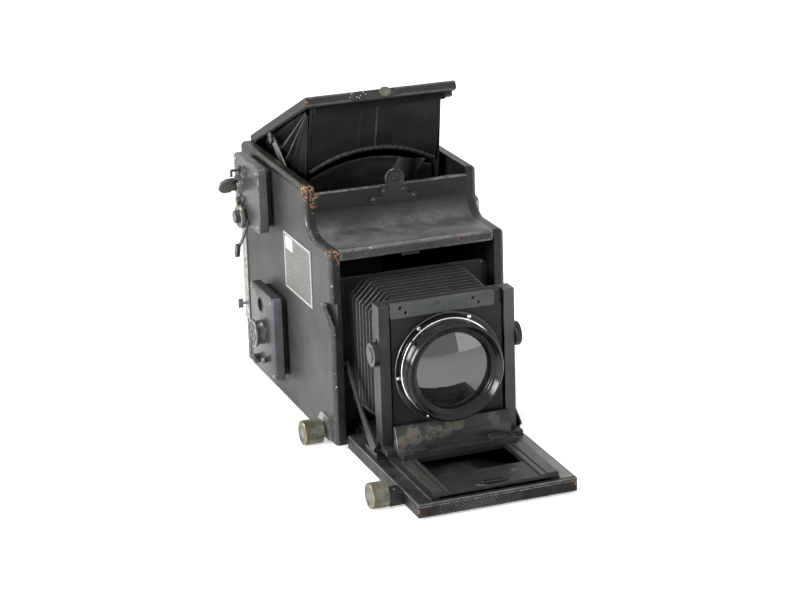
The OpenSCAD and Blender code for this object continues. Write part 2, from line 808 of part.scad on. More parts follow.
// Shutter
module curtain() {
    color([0.1, 0.1, 0.1]) difference() {
        span([-curtain_w/2, curtain_w/2], [curtain_y - curtain_t, curtain_y], [roller_low_z, roller_top_z]);
        span([-1, 1]*(curtain_w/2 - curtain_edge), [curtain_y - curtain_t - cut, curtain_y + cut],
            [slit_z, slit_z + slit_h]);
    }
}
module roller_top() {
    color("tan") {
        rod_x([-1, 1]*(curtain_w/2 + roller_spare), roller_y, roller_top_z, roller_r);
        rod_x([-1, 1]*(inner + seat_d - seat_end), roller_y, roller_top_z, spindle_r);
        gear(wind_x, roller_y, roller_top_z, roller_n, gear_m);
    }
}
module roller_low() {
    color("tan") {
        rod_x([-1, 1]*(curtain_w/2 + roller_spare), roller_y, roller_low_z, roller_r);
        rod_x([-1, 1]*(inner + seat_d - seat_end), roller_y, roller_low_z, spindle_r);
    }
}

// Revolving back
module back_plate() {
    color([0.2, 0.2, 0.2]) difference() {
        span([-half, half], [body_d, film_y], [back_z0, back_h]);
        rod_y([body_d - cut, film_y + cut], 0, lens_z, turn_r + fit);
        rod_x([-half - cut, -turn_r - screw_end], body_d + back_t/2, back_screw_z, stud_r + fit);
    }
}
module plate_window(y) {
    span([-1, 1]*plate_w/2, y, pm(lens_z, plate_h/2));
}
module turning_back() {
    color([0.22, 0.22, 0.22]) difference() {
        union() {
            rod_y([body_d + gap, film_y + gap], 0, lens_z, turn_r);
            rod_y([film_y + gap, film_y + gap + turn_lip_t], 0, lens_z, turn_r + turn_lip);
        }
        plate_window([body_d - cut, holder_y + cut]);
    }
}
module plate_holder() {
    color("saddlebrown") difference() {
        span([-holder_w/2, holder_w/2], [holder_y, holder_y + holder_t], pm(lens_z, holder_h/2));
        plate_window([holder_y - cut, slide_y]);
        span([-1, 1]*(slide_w/2 + gap), [slide_y - gap, slide_y + slide_t + gap],
            [holder_low, holder_top + cut]);
    }
}
module dark_slide() {
    color([0.15, 0.15, 0.15]) {
        span([-slide_w/2, slide_w/2], [slide_y, slide_y + slide_t], [holder_low + gap, holder_top + 3]);
        span([-slide_w/2, slide_w/2], [slide_y - 1, slide_y + slide_t + 1], [holder_top + gap, holder_top + 6]);
    }
}
module back_screw() {
    y = body_d + back_t/2;
    color("silver") {
        rod_x([-half - wing_x[1], -turn_r - screw_end - 1], y, back_screw_z, stud_r);
        span([-half - wing_x[1], -half - wing_x[0]], pm(y, 0.8), pm(back_screw_z, wing_z));
    }
}

// Control housings and what turns in them
module housing_shell(y, z, bores) {
    w = housing_wall;
    difference() {
        along_x([-face_x, -half]) polygon(round_box(y, z, housing_r));
        along_x([-face_x + w, -half + cut])
            polygon(round_box([y[0] + w, y[1] - w], [z[0] + w, z[1] - w], housing_r - w));
        for (b = bores) rod_x([-face_x - cut, -face_x + w + cut], b[0], b[1], b[2]);
    }
    for (p = [[y[0] + corner_in, z[0] + corner_in], [y[1] - corner_in, z[0] + corner_in],
            [y[0] + corner_in, z[1] - corner_in], [y[1] - corner_in, z[1] - corner_in]])
        rod_x([-face_x - screw_h, -face_x], p[0], p[1], screw_r);
}
module upper_housing() {
    r = spindle_r + fit;
    color("gray") housing_shell([upper_y0, upper_y0 + upper_l], [upper_z0, upper_z0 + upper_h],
        [[key_y, key_z, r], [dial_y, dial_z, r], [idler_y, idler_z, r], [hook_y, hook_z, r]]);
}
module lower_housing() {
    color("gray") {
        housing_shell([lower_y0, lower_y0 + lower_l], [lower_z0, lower_z0 + lower_h],
            [[tension_y, tension_z, spindle_r + fit], [release_y, release_z, spindle_r + fit],
            [tension_y, window_z, window_r]]);
        rod_x([-face_x - stud_l, -face_x], stud_y, stud_z, release_r - 1);
    }
}
module winding_key() {
    tilt = 45;
    color("silver") {
        rod_x([-face_x - boss_l, wind_x[0]], key_y, key_z, spindle_r);
        rod_x([-face_x - boss_l, -face_x - gap], key_y, key_z, boss_r);
        gear(wind_x, key_y, key_z, gear_n, gear_m);
        gear(train_x, key_y, key_z, small_n, small_m, train_a);
        translate([-face_x - boss_l, key_y, key_z]) rotate([tilt, 0, 0]) along_y([-wing_t/2, wing_t/2])
            polygon([[boss_l/2, -boss_r + 1], [boss_l/2, boss_r - 1], [0, key_span/2],
                [-wing_l*0.6, key_span/2], [-wing_l, key_span/4], [-wing_l, -key_span/4],
                [-wing_l*0.6, -key_span/2], [0, -key_span/2]]);
    }
}
module idler_gear() {
    color("darkkhaki") {
        rod_x([-face_x - cap_l, -half + short_seat - gap], idler_y, idler_z, spindle_r);
        rod_x([-face_x - cap_l, -face_x - gap], idler_y, idler_z, cap_r);
        gear(train_x, idler_y, idler_z, idler_n, small_m, train_a);
    }
}
module aperture_dial() {
    x = -face_x - lever_t - 2*gap;
    color("gray") {
        rod_x([x - dial_l - dial_knob_l, -half + short_seat - gap], dial_y, dial_z, spindle_r);
        gear(train_x, dial_y, dial_z, small_n, small_m, train_a);
        rod_x([x - dial_l, x], dial_y, dial_z, dial_r);
        rod_x([x - dial_l - dial_knob_l, x - dial_l], dial_y, dial_z, dial_r*0.55);
    }
}
module release_hook() {
    x = -face_x - hook_l;
    color("silver") {
        rod_x([x, -half + short_seat - gap], hook_y, hook_z, wire_r);
        rod_x([-face_x - gap - 2, -face_x - gap], hook_y, hook_z, cap_r);
        rod_x([-face_x - gap - 2, -half + short_seat - gap], hook_y, hook_z, spindle_r);
        rod_z([hook_z - hook_drop, hook_z + wire_r], x, hook_y, wire_r);
        translate([x - wire_r, hook_y, hook_z + wire_r]) sphere(r = wire_r*1.4, $fn = 24);
    }
}
module tension_knob() {
    x = -face_x - gap;
    color("darkkhaki") {
        rod_x([x - knob_t, -half + seat_d - gap], tension_y, tension_z, spindle_r);
        rod_x([x - knob_t, x], tension_y, tension_z, tension_r);
        rod_x([x - knob_t - 1, x - knob_t], tension_y, tension_z, tension_r*0.8);
        rod_x(shift(-face_x + housing_wall + gap, [0, sheet]), tension_y, tension_z, number_r);
    }
}
module tension_release() {
    x = -face_x - gap;
    color("silver") {
        rod_x([x - stud_l, x], release_y, release_z, release_r);
        rod_x([x - stud_l, -half + seat_d - gap], release_y, release_z, spindle_r);
        span([x - stud_l - 1, x - stud_l], pm(release_y, release_r*0.8), pm(release_z, 1));
    }
}
module speed_plate() {
    color("lightgray") {
        span([-half - plate_sheet, -half], [speed_y0, speed_y0 + speed_l], [speed_z0, speed_z0 + speed_h]);
        for (y = [pin_in, speed_l - pin_in], z = [pin_in, speed_h - pin_in])
            rod_x([-half - plate_sheet - pin_h, -half - plate_sheet], speed_y0 + y, speed_z0 + z, plate_pin_r);
    }
}

// Focusing spindles, bed, guides and track
module focus_spindle(y, face, length, neck, end) {
    color("darkkhaki") {
        rod_x([-face, -face + length], y, shaft_z, knob_r);
        rod_x([-face - 1, -face], y, shaft_z, knob_r*0.75);
        rod_x([-face + length, -neck], y, shaft_z, collar_r);
        rod_x([-face, end], y, shaft_z, shaft_r);
        for (x = both_racks) gear([x[0] + 1, x[1] - 1], y, shaft_z, small_n, small_m, 90);
    }
}
module body_focus() {
    focus_spindle(body_pinion_y, knob_face, knob_l, half + escutcheon_t + gap, strip_x + gap + guide_w/2);
}
module bed_focus() {
    focus_spindle(-bed_pinion_y, bed_knob_face, knob_l - 2.6, housing_x + gap, strip_x + shaft_seat - gap);
}
module side_fittings() {
    color("gray") {
        difference() {
            span([-half - sheet, -half], [strip_y0, film_y], strip_z);
            rod_x([-half - 2*sheet, -half + cut], body_d + back_t/2, back_screw_z, stud_r + fit);
        }
        for (p = strip_screws)
            rod_x([-half - sheet - screw_h, -half - sheet], strip_y0 + p[0], strip_z[1] - p[1], screw_r);
        difference() {
            rod_x([-half - escutcheon_t, -half], body_pinion_y, shaft_z, escutcheon_r);
            rod_x([-half - escutcheon_t - cut, -half + cut], body_pinion_y, shaft_z, shaft_r + fit);
            span([-half - escutcheon_t - cut, -half + cut], pm(body_pinion_y, 2*escutcheon_r),
                [-2*escutcheon_r, gap]);
        }
    }
}
module bed_board() {
    color("dimgray") difference() {
        union() {
            span([-bed_w/2, bed_w/2], [bed_front, bed_rear], [bed_z, board_top]);
            span([-bed_w/2, bed_w/2], [bed_front, bed_front + front_strip], [bed_z, bed_top]);
            both_sides() {
                span([strip_x, bed_w/2], [bed_front, bed_rear], [bed_z, bed_top]);
                span([foot_in, rail_out], [bed_front, bed_rear], [bed_z, foot_z - gap]);
            }
        }
        for (x = both_racks)
            span([x[0] - gap, x[1] + gap], pm(-bed_pinion_y, pinion_room), [pinion_floor, bed_top]);
        span([-strip_x, strip_x], pm(-bed_pinion_y, shaft_r + gap), [shaft_z - shaft_r - gap, bed_top]);
        rod_x([-bed_w/2 - cut, strip_x + shaft_seat], -bed_pinion_y, shaft_z, shaft_r + fit);
        rod_x([-leaf_half - gap, leaf_half + gap], hinge_line[0], hinge_line[1], bed_knuckle_r + gap);
    }
}
module brace() {
    path = [[brace_y[0], brace_z[0]], [brace_y[1], brace_z[1]]];
    a = atan2(path[1][1] - path[0][1], path[1][0] - path[0][0]);
    l = norm(path[1] - path[0]);
    along_x([brace_x - brace_t, brace_x]) translate(path[0]) rotate(a)
        polygon(concat(arc([0, 0], brace_w/2, 90, 270), [[l*0.55, -brace_w/2], [l, -brace_foot],
            [l + 3, -brace_foot], [l + 3, brace_w/2], [l*0.55, brace_w/2]]));
    rod_x([brace_x - brace_t - 1, inner], path[0][0], path[0][1], stud_r);
    span([brace_x - brace_t, brace_x], shift(brace_y[1], bracket_y), [bed_top, brace_z[1]]);
    span([brace_x - brace_t - bracket_w, brace_x], shift(brace_y[1], bracket_y), [bed_top, bed_top + brace_t]);
}
module bed_fittings() {
    color("gray") {
        both_sides() brace();
        span([strip_x + 0.8, bed_w/2 - 1.7], shift(bed_front, [scale_in, scale_in + scale_l]),
            [bed_top, bed_top + scale_t]);
        difference() {
            span([-housing_x, -bed_w/2], pm(-bed_pinion_y, housing_half), [bed_z + 0.3, bed_top]);
            rod_x([-housing_x - cut, -bed_w/2 + cut], -bed_pinion_y, shaft_z, shaft_r + fit);
        }
        rod_z([bed_top, bed_top + screw_h], -(bed_w/2 + housing_x)/2, -bed_pinion_y, screw_r);
        rod_x([-leaf_half, leaf_half], hinge_line[0], hinge_line[1], bed_knuckle_r);
        span([-leaf_half, leaf_half], [hinge_line[0], leaf_l], [-sheet - 0.2, -0.1]);
    }
}
module bed_catch() {
    color("gray") {
        span(tongue_x, tongue_y, [tongue_top - tongue_h, tongue_top]);
        span(stem_x, stem_y, [tongue_top - tongue_h, roof_h - roof_t + 1]);
    }
}
module floor_guides() {
    color([0.2, 0.2, 0.2]) difference() {
        both_sides() {
            span([foot_in, rail_out], [0, guide_l], [floor_t, foot_z - gap]);
            span([strip_x, strip_x + guide_w], [0, guide_l], [floor_t, guide_top]);
        }
        span([-strip_x, strip_x], pm(body_pinion_y, shaft_r + gap), [floor_t - cut, guide_top]);
        rod_x([-strip_x - guide_w - cut, strip_x + guide_w + cut], body_pinion_y, shaft_z, shaft_r + fit);
    }
}
module rack(x, y0, y1, mesh_y) {
    k0 = ceil((y0 - mesh_y)/tooth_pitch - 0.5);
    k1 = floor((y1 - mesh_y)/tooth_pitch - 0.5);
    for (k = [k0:k1]) along_x(x) translate([mesh_y + (k + 0.5)*tooth_pitch, 0])
        polygon([[-0.3*tooth_pitch, root_z + cut/4], [-0.13*tooth_pitch, pitch_z - bite],
            [0.13*tooth_pitch, pitch_z - bite], [0.3*tooth_pitch, root_z + cut/4]]);
}
module track_frame() {
    color("darkkhaki") difference() {
        union() {
            both_sides() {
                span([rail_in, rail_out], [rail_front, rail_rear], [root_z, rail_top]);
                span([foot_in, rail_out], [rail_front, rail_rear], [foot_z, root_z]);
                rack(rack_x, rail_front, rack_spare - bed_pinion_y, -bed_pinion_y);
                rack(rack_x, body_pinion_y - travel - rack_spare, body_pinion_y + rack_spare, body_pinion_y);
            }
            span([-rail_in, rail_in], [rail_front, rail_front + cross_l], [root_z, root_z + cross_t]);
            span([-rail_in, rail_in], [foot_y[0], post_y[1]], [root_z, rail_top]);
            span([-rail_in, rail_in], [rail_rear - cross_l/3, rail_rear], [root_z, root_z + cross_t]);
        }
        span([-1, 1]*(finger_stem + gap), shift(rail_front, finger_slot), [root_z - cut, rail_top + cut]);
    }
}
module track_catch() {
    z = root_z + cross_t + gap;
    color("silver") {
        along_z([z, z + finger_t]) difference() {
            polygon(round_box([-finger_x, finger_x], shift(rail_front, [2, 2 + 2*finger_r]), finger_r - 0.1));
            polygon(round_box([-1, 1]*(finger_x - finger_rim), shift(rail_front, [2 + finger_rim, 2*finger_r - 1]),
                finger_r - 3.2));
        }
        span([-finger_stem, finger_stem], shift(rail_front + finger_slot[0] + gap, [0, finger_t]),
            [root_z, z + finger_t]);
    }
}

// Standard, rising front and lens
module standard() {
    slot_z = [clamp_z - stud_r - gap, clamp_z + rise + stud_r + gap];
    color("dimgray") difference() {
        union() {
            both_sides() {
                span([post_x, std_w/2], post_y, [rail_top, std_top]);
                span([post_x, std_w/2], [bar_y[0], post_y[0]], [rail_top, rail_top + base_t]);
                span([foot_x, foot_x + foot_w], foot_y, [rail_top, rail_top + foot_h]);
            }
            span([-post_x, post_x], [foot_y[0], post_y[1]], [rail_top, rail_top + base_t]);
            span([-post_x, post_x], bar_y, [rail_top, bar_z]);
            difference() {
                span([-post_x, post_x], [post_y[1] - back_t2, post_y[1]], [rail_top, std_top]);
                span([-opening_x, opening_x], [post_y[1] - back_t2 - cut, post_y[1] + cut], opening_z);
            }
        }
        both_sides() {
            span([post_x - cut, post_x + tongue + gap], pm(groove_c, tongue_w/2 + gap),
                [carrier_z0 - gap, std_top + cut]);
            span([post_x, std_w/2 + cut], pm(groove_c, stud_r + gap), slot_z);
        }
    }
}
module lens_carrier() {
    color([0.2, 0.2, 0.2]) difference() {
        union() {
            span([-1, 1]*(post_x - gap), [carrier_y, carrier_y + carrier_t], [carrier_z0, std_top]);
            span([-1, 1]*(post_x + tongue - gap), pm(groove_c, tongue_w/2), [carrier_z0, std_top]);
            span([-board_x - 0.5, board_x - 2], [carrier_y - clip_t, carrier_y], [std_top - clip_h, std_top]);
        }
        rod_y([carrier_y - cut, carrier_y + carrier_t + cut], 0, lens_z, rear_r + 5);
        for (x = clip_holes) rod_y([carrier_y - clip_t - cut, carrier_y - 2], x[0], std_top - x[1], 1);
        both_sides() rod_x([post_x - 5, std_w/2], groove_c, clamp_z, stud_r);
    }
    color("silver")
        rod_y([carrier_y - clip_t - screw_h, carrier_y - clip_t], clip_screw_x, std_top - 3, screw_r);
}
module lens_board() {
    color([0.15, 0.15, 0.15]) difference() {
        span([-board_x, board_x], [board_y, carrier_y], [carrier_z0, std_top - clip_h]);
        rod_y([board_y - cut, carrier_y + cut], 0, lens_z, rear_r + 1);
    }
}
module rise_clamp(side) {
    x = std_w/2 + gap;
    color("silver") mirror([side < 0 ? 1 : 0, 0, 0]) {
        rod_x([x, x + clamp_t], groove_c, clamp_z, clamp_r);
        rod_x([x + clamp_t, x + clamp_t + 1], groove_c, clamp_z, clamp_r*0.6);
        rod_x([post_x - 4, x], groove_c, clamp_z, stud_r - fit);
    }
}
module rise_clamp_left() { rise_clamp(-1); }
module rise_clamp_right() { rise_clamp(1); }
module turned(profile) {
    translate([0, 0, lens_z]) rotate([90, 0, 0]) rotate_extrude($fn = 96) polygon(profile);
}
module lens_barrel() {
    b = -board_y;
    front = b + flange_t + ring_t + barrel_l;
    back = b - 3.5 - rear_l - carrier_t;
    color("silver") turned([[rear_glass_r + fit, back], [rear_r, back], [rear_r, b], [flange_r, b],
        [flange_r, b + flange_t], [ring_r, b + flange_t], [ring_r, b + flange_t + ring_t],
        [barrel_r, b + flange_t + ring_t], [barrel_r, front], [front_r, front], [front_r, front + front_l],
        [front_r - 3.2, front + front_l], [glass_r + 0.5, front + 1], [glass_r + 0.5, front - glass_edge],
        [rear_glass_r - 3, front - glass_edge], [rear_glass_r - 3, back + glass_edge],
        [rear_glass_r + fit, back + glass_edge]]);
    color("silver") for (i = [0:flange_screws - 1]) rotate_lens(5 + i*360/flange_screws)
        rod_y([board_y - flange_t - screw_h, board_y - flange_t], (flange_r + ring_r)/2, 0, screw_r);
}
module rotate_lens(a) {
    translate([0, 0, lens_z]) rotate([0, -a, 0]) children();
}
module iris_ring() {
    v = -board_y + flange_t + ring_t;
    color([0.2, 0.2, 0.2]) {
        turned([[barrel_r + fit, v + 1.5], [ring_r - gap, v + 1.5], [ring_r - gap, v + barrel_l - 1.5],
            [barrel_r + fit, v + barrel_l - 1.5]]);
        rotate_lens(140) rod_y([-v - barrel_l + 2.5, -v - 2.5], ring_r + 1, 0, 1.5);
    }
}
module lens_glass() {
    front = -board_y + flange_t + ring_t + barrel_l;
    back = -board_y - 3.5 - rear_l - carrier_t;
    r = (glass_r*glass_r + bulge*bulge)/(2*bulge);
    q = (rear_glass_r*rear_glass_r + bulge*bulge/4)/bulge;
    color("lightsteelblue") {
        turned(concat([[0, front - glass_edge], [glass_r, front - glass_edge]],
            [for (i = [0:8]) let (a = asin(glass_r/r)*(1 - i/8))
                [r*sin(a), front - 1 + bulge - r + r*cos(a)]]));
        turned(concat([[0, back + glass_edge], [rear_glass_r, back + glass_edge]],
            [for (i = [0:8]) let (a = asin(rear_glass_r/q)*(1 - i/8))
                [q*sin(a), back + 0.5 + q - q*cos(a)]]));
    }
}

// Bellows with its fixed frame, and the carrying handle
function bellows_ring(i, s) = let (t = i/(2*pleats), d = (i % 2 == 1 ? pleat_d : 0) + s,
    w = bellows_w[0]/2*(1 - t) + bellows_w[1]/2*t - d, z0 = bellows_z[0][0]*(1 - t) + bellows_z[1][0]*t + d,
    z1 = bellows_z[0][1]*(1 - t) + bellows_z[1][1]*t - d, c = bellows_corner - 0.4*d,
    y = (bellows_y - gap)*(1 - t) + (post_y[1] + gap)*t)
    [for (p = [[w, z0 + c], [w, z1 - c], [w - c, z1], [c - w, z1], [-w, z1 - c], [-w, z0 + c], [c - w, z0],
        [w - c, z0]]) [p[0], y, p[1]]];
module bellows() {
    n = 2*pleats + 1;
    m = 8;
    points = [for (s = [0, skin], i = [0:n - 1]) each bellows_ring(i, s)];
    outer = [for (i = [0:n - 2], j = [0:m - 1]) let (a = i*m + j, b = i*m + (j + 1)%m) each
        [[a, b, b + m], [a, b + m, a + m]]];
    inside = [for (f = outer) [f[0] + n*m, f[2] + n*m, f[1] + n*m]];
    ends = [for (j = [0:m - 1]) let (k = (j + 1)%m, e = (n - 1)*m, o = n*m) each
        [[j, j + o, k + o], [j, k + o, k], [e + j, e + k, e + k + o], [e + j, e + k + o, e + j + o]]];
    color([0.1, 0.1, 0.1]) polyhedron(points, concat(outer, inside, ends));
}
module bellows_frame() {
    r = 6;
    edge = inner - gap;
    through = [bellows_y - cut, bellows_y + frame_t + cut];
    color([0.15, 0.15, 0.15]) difference() {
        along_y([bellows_y, bellows_y + frame_t]) polygon(concat([[-edge, floor_t], [edge, floor_t]],
            arc([edge - r, frame_top - r], r, 0, 90), arc([r - edge, frame_top - r], r, 90, 180)));
        span([-frame_x, frame_x], through, frame_z);
        span([-1, 1]*(strip_x + guide_w + gap), through, [floor_t - cut, guide_top + 3]);
    }
}
module carry_handle() {
    middle = (handle_y[0] + handle_y[1])/2;
    inside = [[half + 1.5, handle_y[0] + 2], [half + 11, handle_y[0] + handle_end], [half + 13, middle],
        [half + 11, handle_y[1] - handle_end], [half + 1.5, handle_y[1] - 2]];
    outside = [[half + 3.5, handle_y[1] + 1], [half + 14, handle_y[1] - handle_end], [half + 16.5, middle],
        [half + 14, handle_y[0] + handle_end], [half + 3.5, handle_y[0] - 1]];
    color("saddlebrown") along_z(handle_z) polygon(concat(inside, outside));
    color("silver") for (y = handle_y)
        span([half, half + 5], shift(y, [-5, 2.5]), [handle_z[0] - 3, handle_z[1] + 3]);
}

placed() side_left();
placed() side_right();
placed() floor_board();
placed() roof_front();
placed() rear_panel();
placed() well_floor();
placed() well_rear();
placed() screen_glass();
placed() well_fittings();
placed() case_feet();
placed() tripod_bush();
placed() catch_plate();
placed() lid_catch();
placed() lid_board();
placed() lid_fittings();
placed() lid_hinge();
placed() stay_left();
placed() stay_right();
placed() hood_front();
placed() hood_sides();
placed() mirror_frame();
placed() mirror_glass();
placed() mirror_lever();
placed() curtain();
placed() roller_top();
placed() roller_low();
placed() back_plate();
placed() turning_back();
placed() plate_holder();
placed() dark_slide();
placed() side_fittings();
placed() back_screw();
placed() upper_housing();
placed() winding_key();
placed() idler_gear();
placed() aperture_dial();
placed() release_hook();
placed() lower_housing();
placed() tension_knob();
placed() tension_release();
placed() speed_plate();
placed() body_focus();
placed() bed_board();
placed() bed_fittings();
placed() bed_focus();
placed() bed_catch();
placed() floor_guides();
placed() track_frame();
placed() track_catch();
placed() standard();
placed() lens_carrier();
placed() lens_board();
placed() rise_clamp_left();
placed() rise_clamp_right();
placed() lens_barrel();
placed() iris_ring();
placed() lens_glass();
placed() bellows();
placed() bellows_frame();
placed() carry_handle();
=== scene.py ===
"""Looks of the large-format single-lens reflex camera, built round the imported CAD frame.

Blender works in metres; sizes below are in millimetres and turned over by MM. The front faces -Y, the
winding side is -X, and P() takes a place measured from the case's front plane, as the source does."""
import contextlib
import json
import math
import random

import bmesh
import bpy
from mathutils import Matrix, Vector, noise
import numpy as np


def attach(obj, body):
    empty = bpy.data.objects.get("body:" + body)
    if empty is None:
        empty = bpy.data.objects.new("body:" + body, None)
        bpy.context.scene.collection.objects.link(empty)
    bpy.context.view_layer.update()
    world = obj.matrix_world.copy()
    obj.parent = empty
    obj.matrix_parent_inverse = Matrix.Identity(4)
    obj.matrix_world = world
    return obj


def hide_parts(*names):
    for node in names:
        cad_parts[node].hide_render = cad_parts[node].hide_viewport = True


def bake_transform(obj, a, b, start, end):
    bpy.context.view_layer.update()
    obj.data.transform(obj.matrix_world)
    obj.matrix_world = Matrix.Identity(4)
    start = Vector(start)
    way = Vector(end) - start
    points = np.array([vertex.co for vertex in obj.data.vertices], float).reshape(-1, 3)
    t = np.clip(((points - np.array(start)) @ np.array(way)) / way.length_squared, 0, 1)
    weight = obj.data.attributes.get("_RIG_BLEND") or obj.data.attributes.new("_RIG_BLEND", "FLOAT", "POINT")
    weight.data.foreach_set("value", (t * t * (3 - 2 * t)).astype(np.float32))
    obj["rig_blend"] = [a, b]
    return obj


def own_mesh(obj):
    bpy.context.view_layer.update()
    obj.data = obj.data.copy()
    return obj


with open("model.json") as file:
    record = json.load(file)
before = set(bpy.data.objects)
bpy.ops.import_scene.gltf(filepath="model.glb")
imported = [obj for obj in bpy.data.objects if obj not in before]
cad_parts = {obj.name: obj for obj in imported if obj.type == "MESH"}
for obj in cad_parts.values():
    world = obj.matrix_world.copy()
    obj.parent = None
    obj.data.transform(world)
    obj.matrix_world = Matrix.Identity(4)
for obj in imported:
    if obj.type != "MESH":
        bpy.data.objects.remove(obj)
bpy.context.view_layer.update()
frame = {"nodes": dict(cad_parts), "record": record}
NODES = frame["nodes"]
BODY_OF = {n: b for b, ns in frame["record"]["behaviour"]["bodies"].items() for n in ns}
random.seed(7)
MM = 0.001
SOCKET_Y = 120.0


def P(x, y, z):
    """A place in the frame from millimetres behind the front plane."""
    return Vector((x * MM, (y - SOCKET_Y) * MM, z * MM))


# Sizes taken over from the source, in millimetres
SIDE_X = 82.5
FACE_X = 97.5
LENS_Z = 85.0
SPINDLE_Z = 6.5
LID_OPEN = math.radians(23.2)
HINGE = (253, 218)
HOOD_Y, HOOD_Z, HOOD_W, HOOD_L = 111.4, 222.0, 125.0, 66.0
HOOD_LEAN = math.radians(14.8)
ARCH_H = 17.0
SKIRT_Y, SKIRT_W, SKIRT_ARCH = 115.4, 119.0, 13.0
CATCH = (2, 61.3, 221.5)

# Sizes chosen here, in millimetres but for EDGE_FLAT, the share that flattens the lid's latch
EDGE_FLAT = 0.13
KNOB_R = 11.25
COVER_D = 9.5
GLASS_R, GLASS_CURVE = 34.1, 104.9
CLIP_HOLES = [(-43, 143.6), (-38, 139), (24, 143.6), (29, 139)]


def lid_point(y, z):
    """Where a point of the closed lid lies with the lid open: (y, z)."""
    dy, dz = y - HINGE[0], z - HINGE[1]
    s, c = math.sin(-LID_OPEN), math.cos(-LID_OPEN)
    return HINGE[0] + dy * c - dz * s, HINGE[1] + dy * s + dz * c


# Node trees of the materials

class Tree:
    """A small helper round one material's node tree."""
    sockets = {"base": "Base Color", "rough": "Roughness", "metallic": "Metallic",
               "specular": "Specular IOR Level"}

    def __init__(self, name):
        self.material = bpy.data.materials.new(name)
        self.material.use_nodes = True
        self.t = self.material.node_tree
        self.t.nodes.clear()
        self.bsdf = self.node("BsdfPrincipled")
        self.t.links.new(self.bsdf.outputs[0], self.node("OutputMaterial").inputs["Surface"])
        self._coords = None

    def node(self, kind, **inputs):
        n = self.t.nodes.new("ShaderNode" + kind)
        for k, v in inputs.items():
            self.put(n.inputs[k], v)
        return n

    def put(self, socket, value):
        if isinstance(value, bpy.types.NodeSocket):
            self.t.links.new(value, socket)
        elif hasattr(value, "__len__") and len(value) == 3 and socket.type == "RGBA":
            socket.default_value = (*value, 1)
        else:
            socket.default_value = value

    def set(self, **values):
        """Sets the shader's sockets and hands back the material."""
        for k, v in values.items():
            self.put(self.bsdf.inputs[self.sockets.get(k, k.replace("_", " "))], v)
        return self.material

    def coords(self):
        if self._coords is None:
            self._coords = self.node("TexCoord").outputs["Object"]
        return self._coords

    def axis(self, letter):
        return self.node("SeparateXYZ", Vector=self.coords()).outputs[letter]

    def scaled(self, scale):
        return self.node("Mapping", Vector=self.coords(), Scale=scale).outputs[0]

    def noise(self, per_m, detail=3.0, rough=0.55, vector=None):
        return self.node("TexNoise", Vector=vector or self.coords(), Scale=per_m, Detail=detail,
                         Roughness=rough).outputs["Fac"]

    def cells(self, per_m):
        n = self.node("TexVoronoi", Vector=self.coords(), Scale=per_m, Randomness=0.9)
        n.feature = "SMOOTH_F1"
        return n.outputs["Distance"]

    def ramp(self, fac, start, end, low=0.0, high=1.0, middle=None):
        """Runs from low at start to high at end, through middle, a position and its value, where given."""
        n = self.node("ValToRGB", Fac=fac)
        stops = [s for s in ((start, low), middle, (end, high)) if s]
        e = n.color_ramp.elements
        while len(e) < len(stops):
            e.new(0.5)
        for el, (position, value) in zip(e, stops):
            el.position = position
            el.color = (value, value, value, 1)
        return n.outputs["Color"]

    def clouds(self, per_m, detail, rough, *stops):
        """Noise made a mask by a ramp."""
        return self.ramp(self.noise(per_m, detail, rough), *stops)

    def mix(self, fac, a, b, blend="MIX"):
        """Two colours mixed, or multiplied."""
        n = self.t.nodes.new("ShaderNodeMix")
        n.data_type, n.blend_type = "RGBA", blend
        for i, v in ((0, fac), (6, a), (7, b)):
            self.put(n.inputs[i], v)
        return n.outputs[2]

    def math(self, op, a, b=0.5, clamp=False):
        n = self.t.nodes.new("ShaderNodeMath")
        n.operation, n.use_clamp = op, clamp
        self.put(n.inputs[0], a)
        self.put(n.inputs[1], b)
        return n.outputs[0]

    def mul(self, a, b, clamp=False):
        return self.math("MULTIPLY", a, b, clamp)

    def add(self, a, b):
        return self.math("ADD", a, b)

    def off(self, a, b):
        """How far one value lies from another, without its sign."""
        return self.math("ABSOLUTE", self.math("SUBTRACT", a, b))

    def share(self, axis, low, high):
        """How far a point lies along an axis, from 0 at low to 1 at high, both in millimetres."""
        start, end = (getattr(P(v, v, v), axis.lower()) for v in (low, high))
        return self.math("DIVIDE", self.math("SUBTRACT", self.axis(axis), start), end - start, True)

    def stripes(self, value, per_unit, part):
        """1 in the first part of each of the steps into which a value is cut."""
        return self.math("LESS_THAN", self.math("FRACT", self.mul(value, per_unit)), part)

    def hatched(self, pitch):
        """Fine crossed diagonal lines, on x and the sum of y and z."""
        run = self.add(self.axis("Y"), self.axis("Z"))
        lines = []
        for way in ("ADD", "SUBTRACT"):
            f = self.math("FRACT", self.math("DIVIDE", self.math(way, self.axis("X"), run), pitch))
            lines.append(self.ramp(self.off(f, 0.5), 0.22, 0.42))
        return self.math("MAXIMUM", *lines)

    def bump(self, height, distance):
        return self.node("Bump", Height=height, Distance=distance).outputs[0]

    def attribute(self, name):
        n = self.node("Attribute")
        n.attribute_name = name
        return n.outputs["Fac"]

    def wear_near(self, places, weight, per_m):
        """Noise raised near the places, each (x, y, z, radius) in millimetres."""
        total = None
        for x, y, z, r in places:
            d = self.t.nodes.new("ShaderNodeVectorMath")
            d.operation = "DISTANCE"
            self.put(d.inputs[0], self.coords())
            d.inputs[1].default_value = P(x, y, z)
            one = self.ramp(self.math("DIVIDE", d.outputs["Value"], r * MM, True), 0.35, 1.0, 1.0, 0.0)
            total = one if total is None else self.math("MAXIMUM", total, one)
        return self.math("DIVIDE", self.add(self.mul(total, weight), self.noise(per_m, 6, 0.8)), 1 + weight)


def tone(colour, k, add=0.0):
    return tuple(c * k + add for c in colour)


def grey(value):
    return (value, value, value)


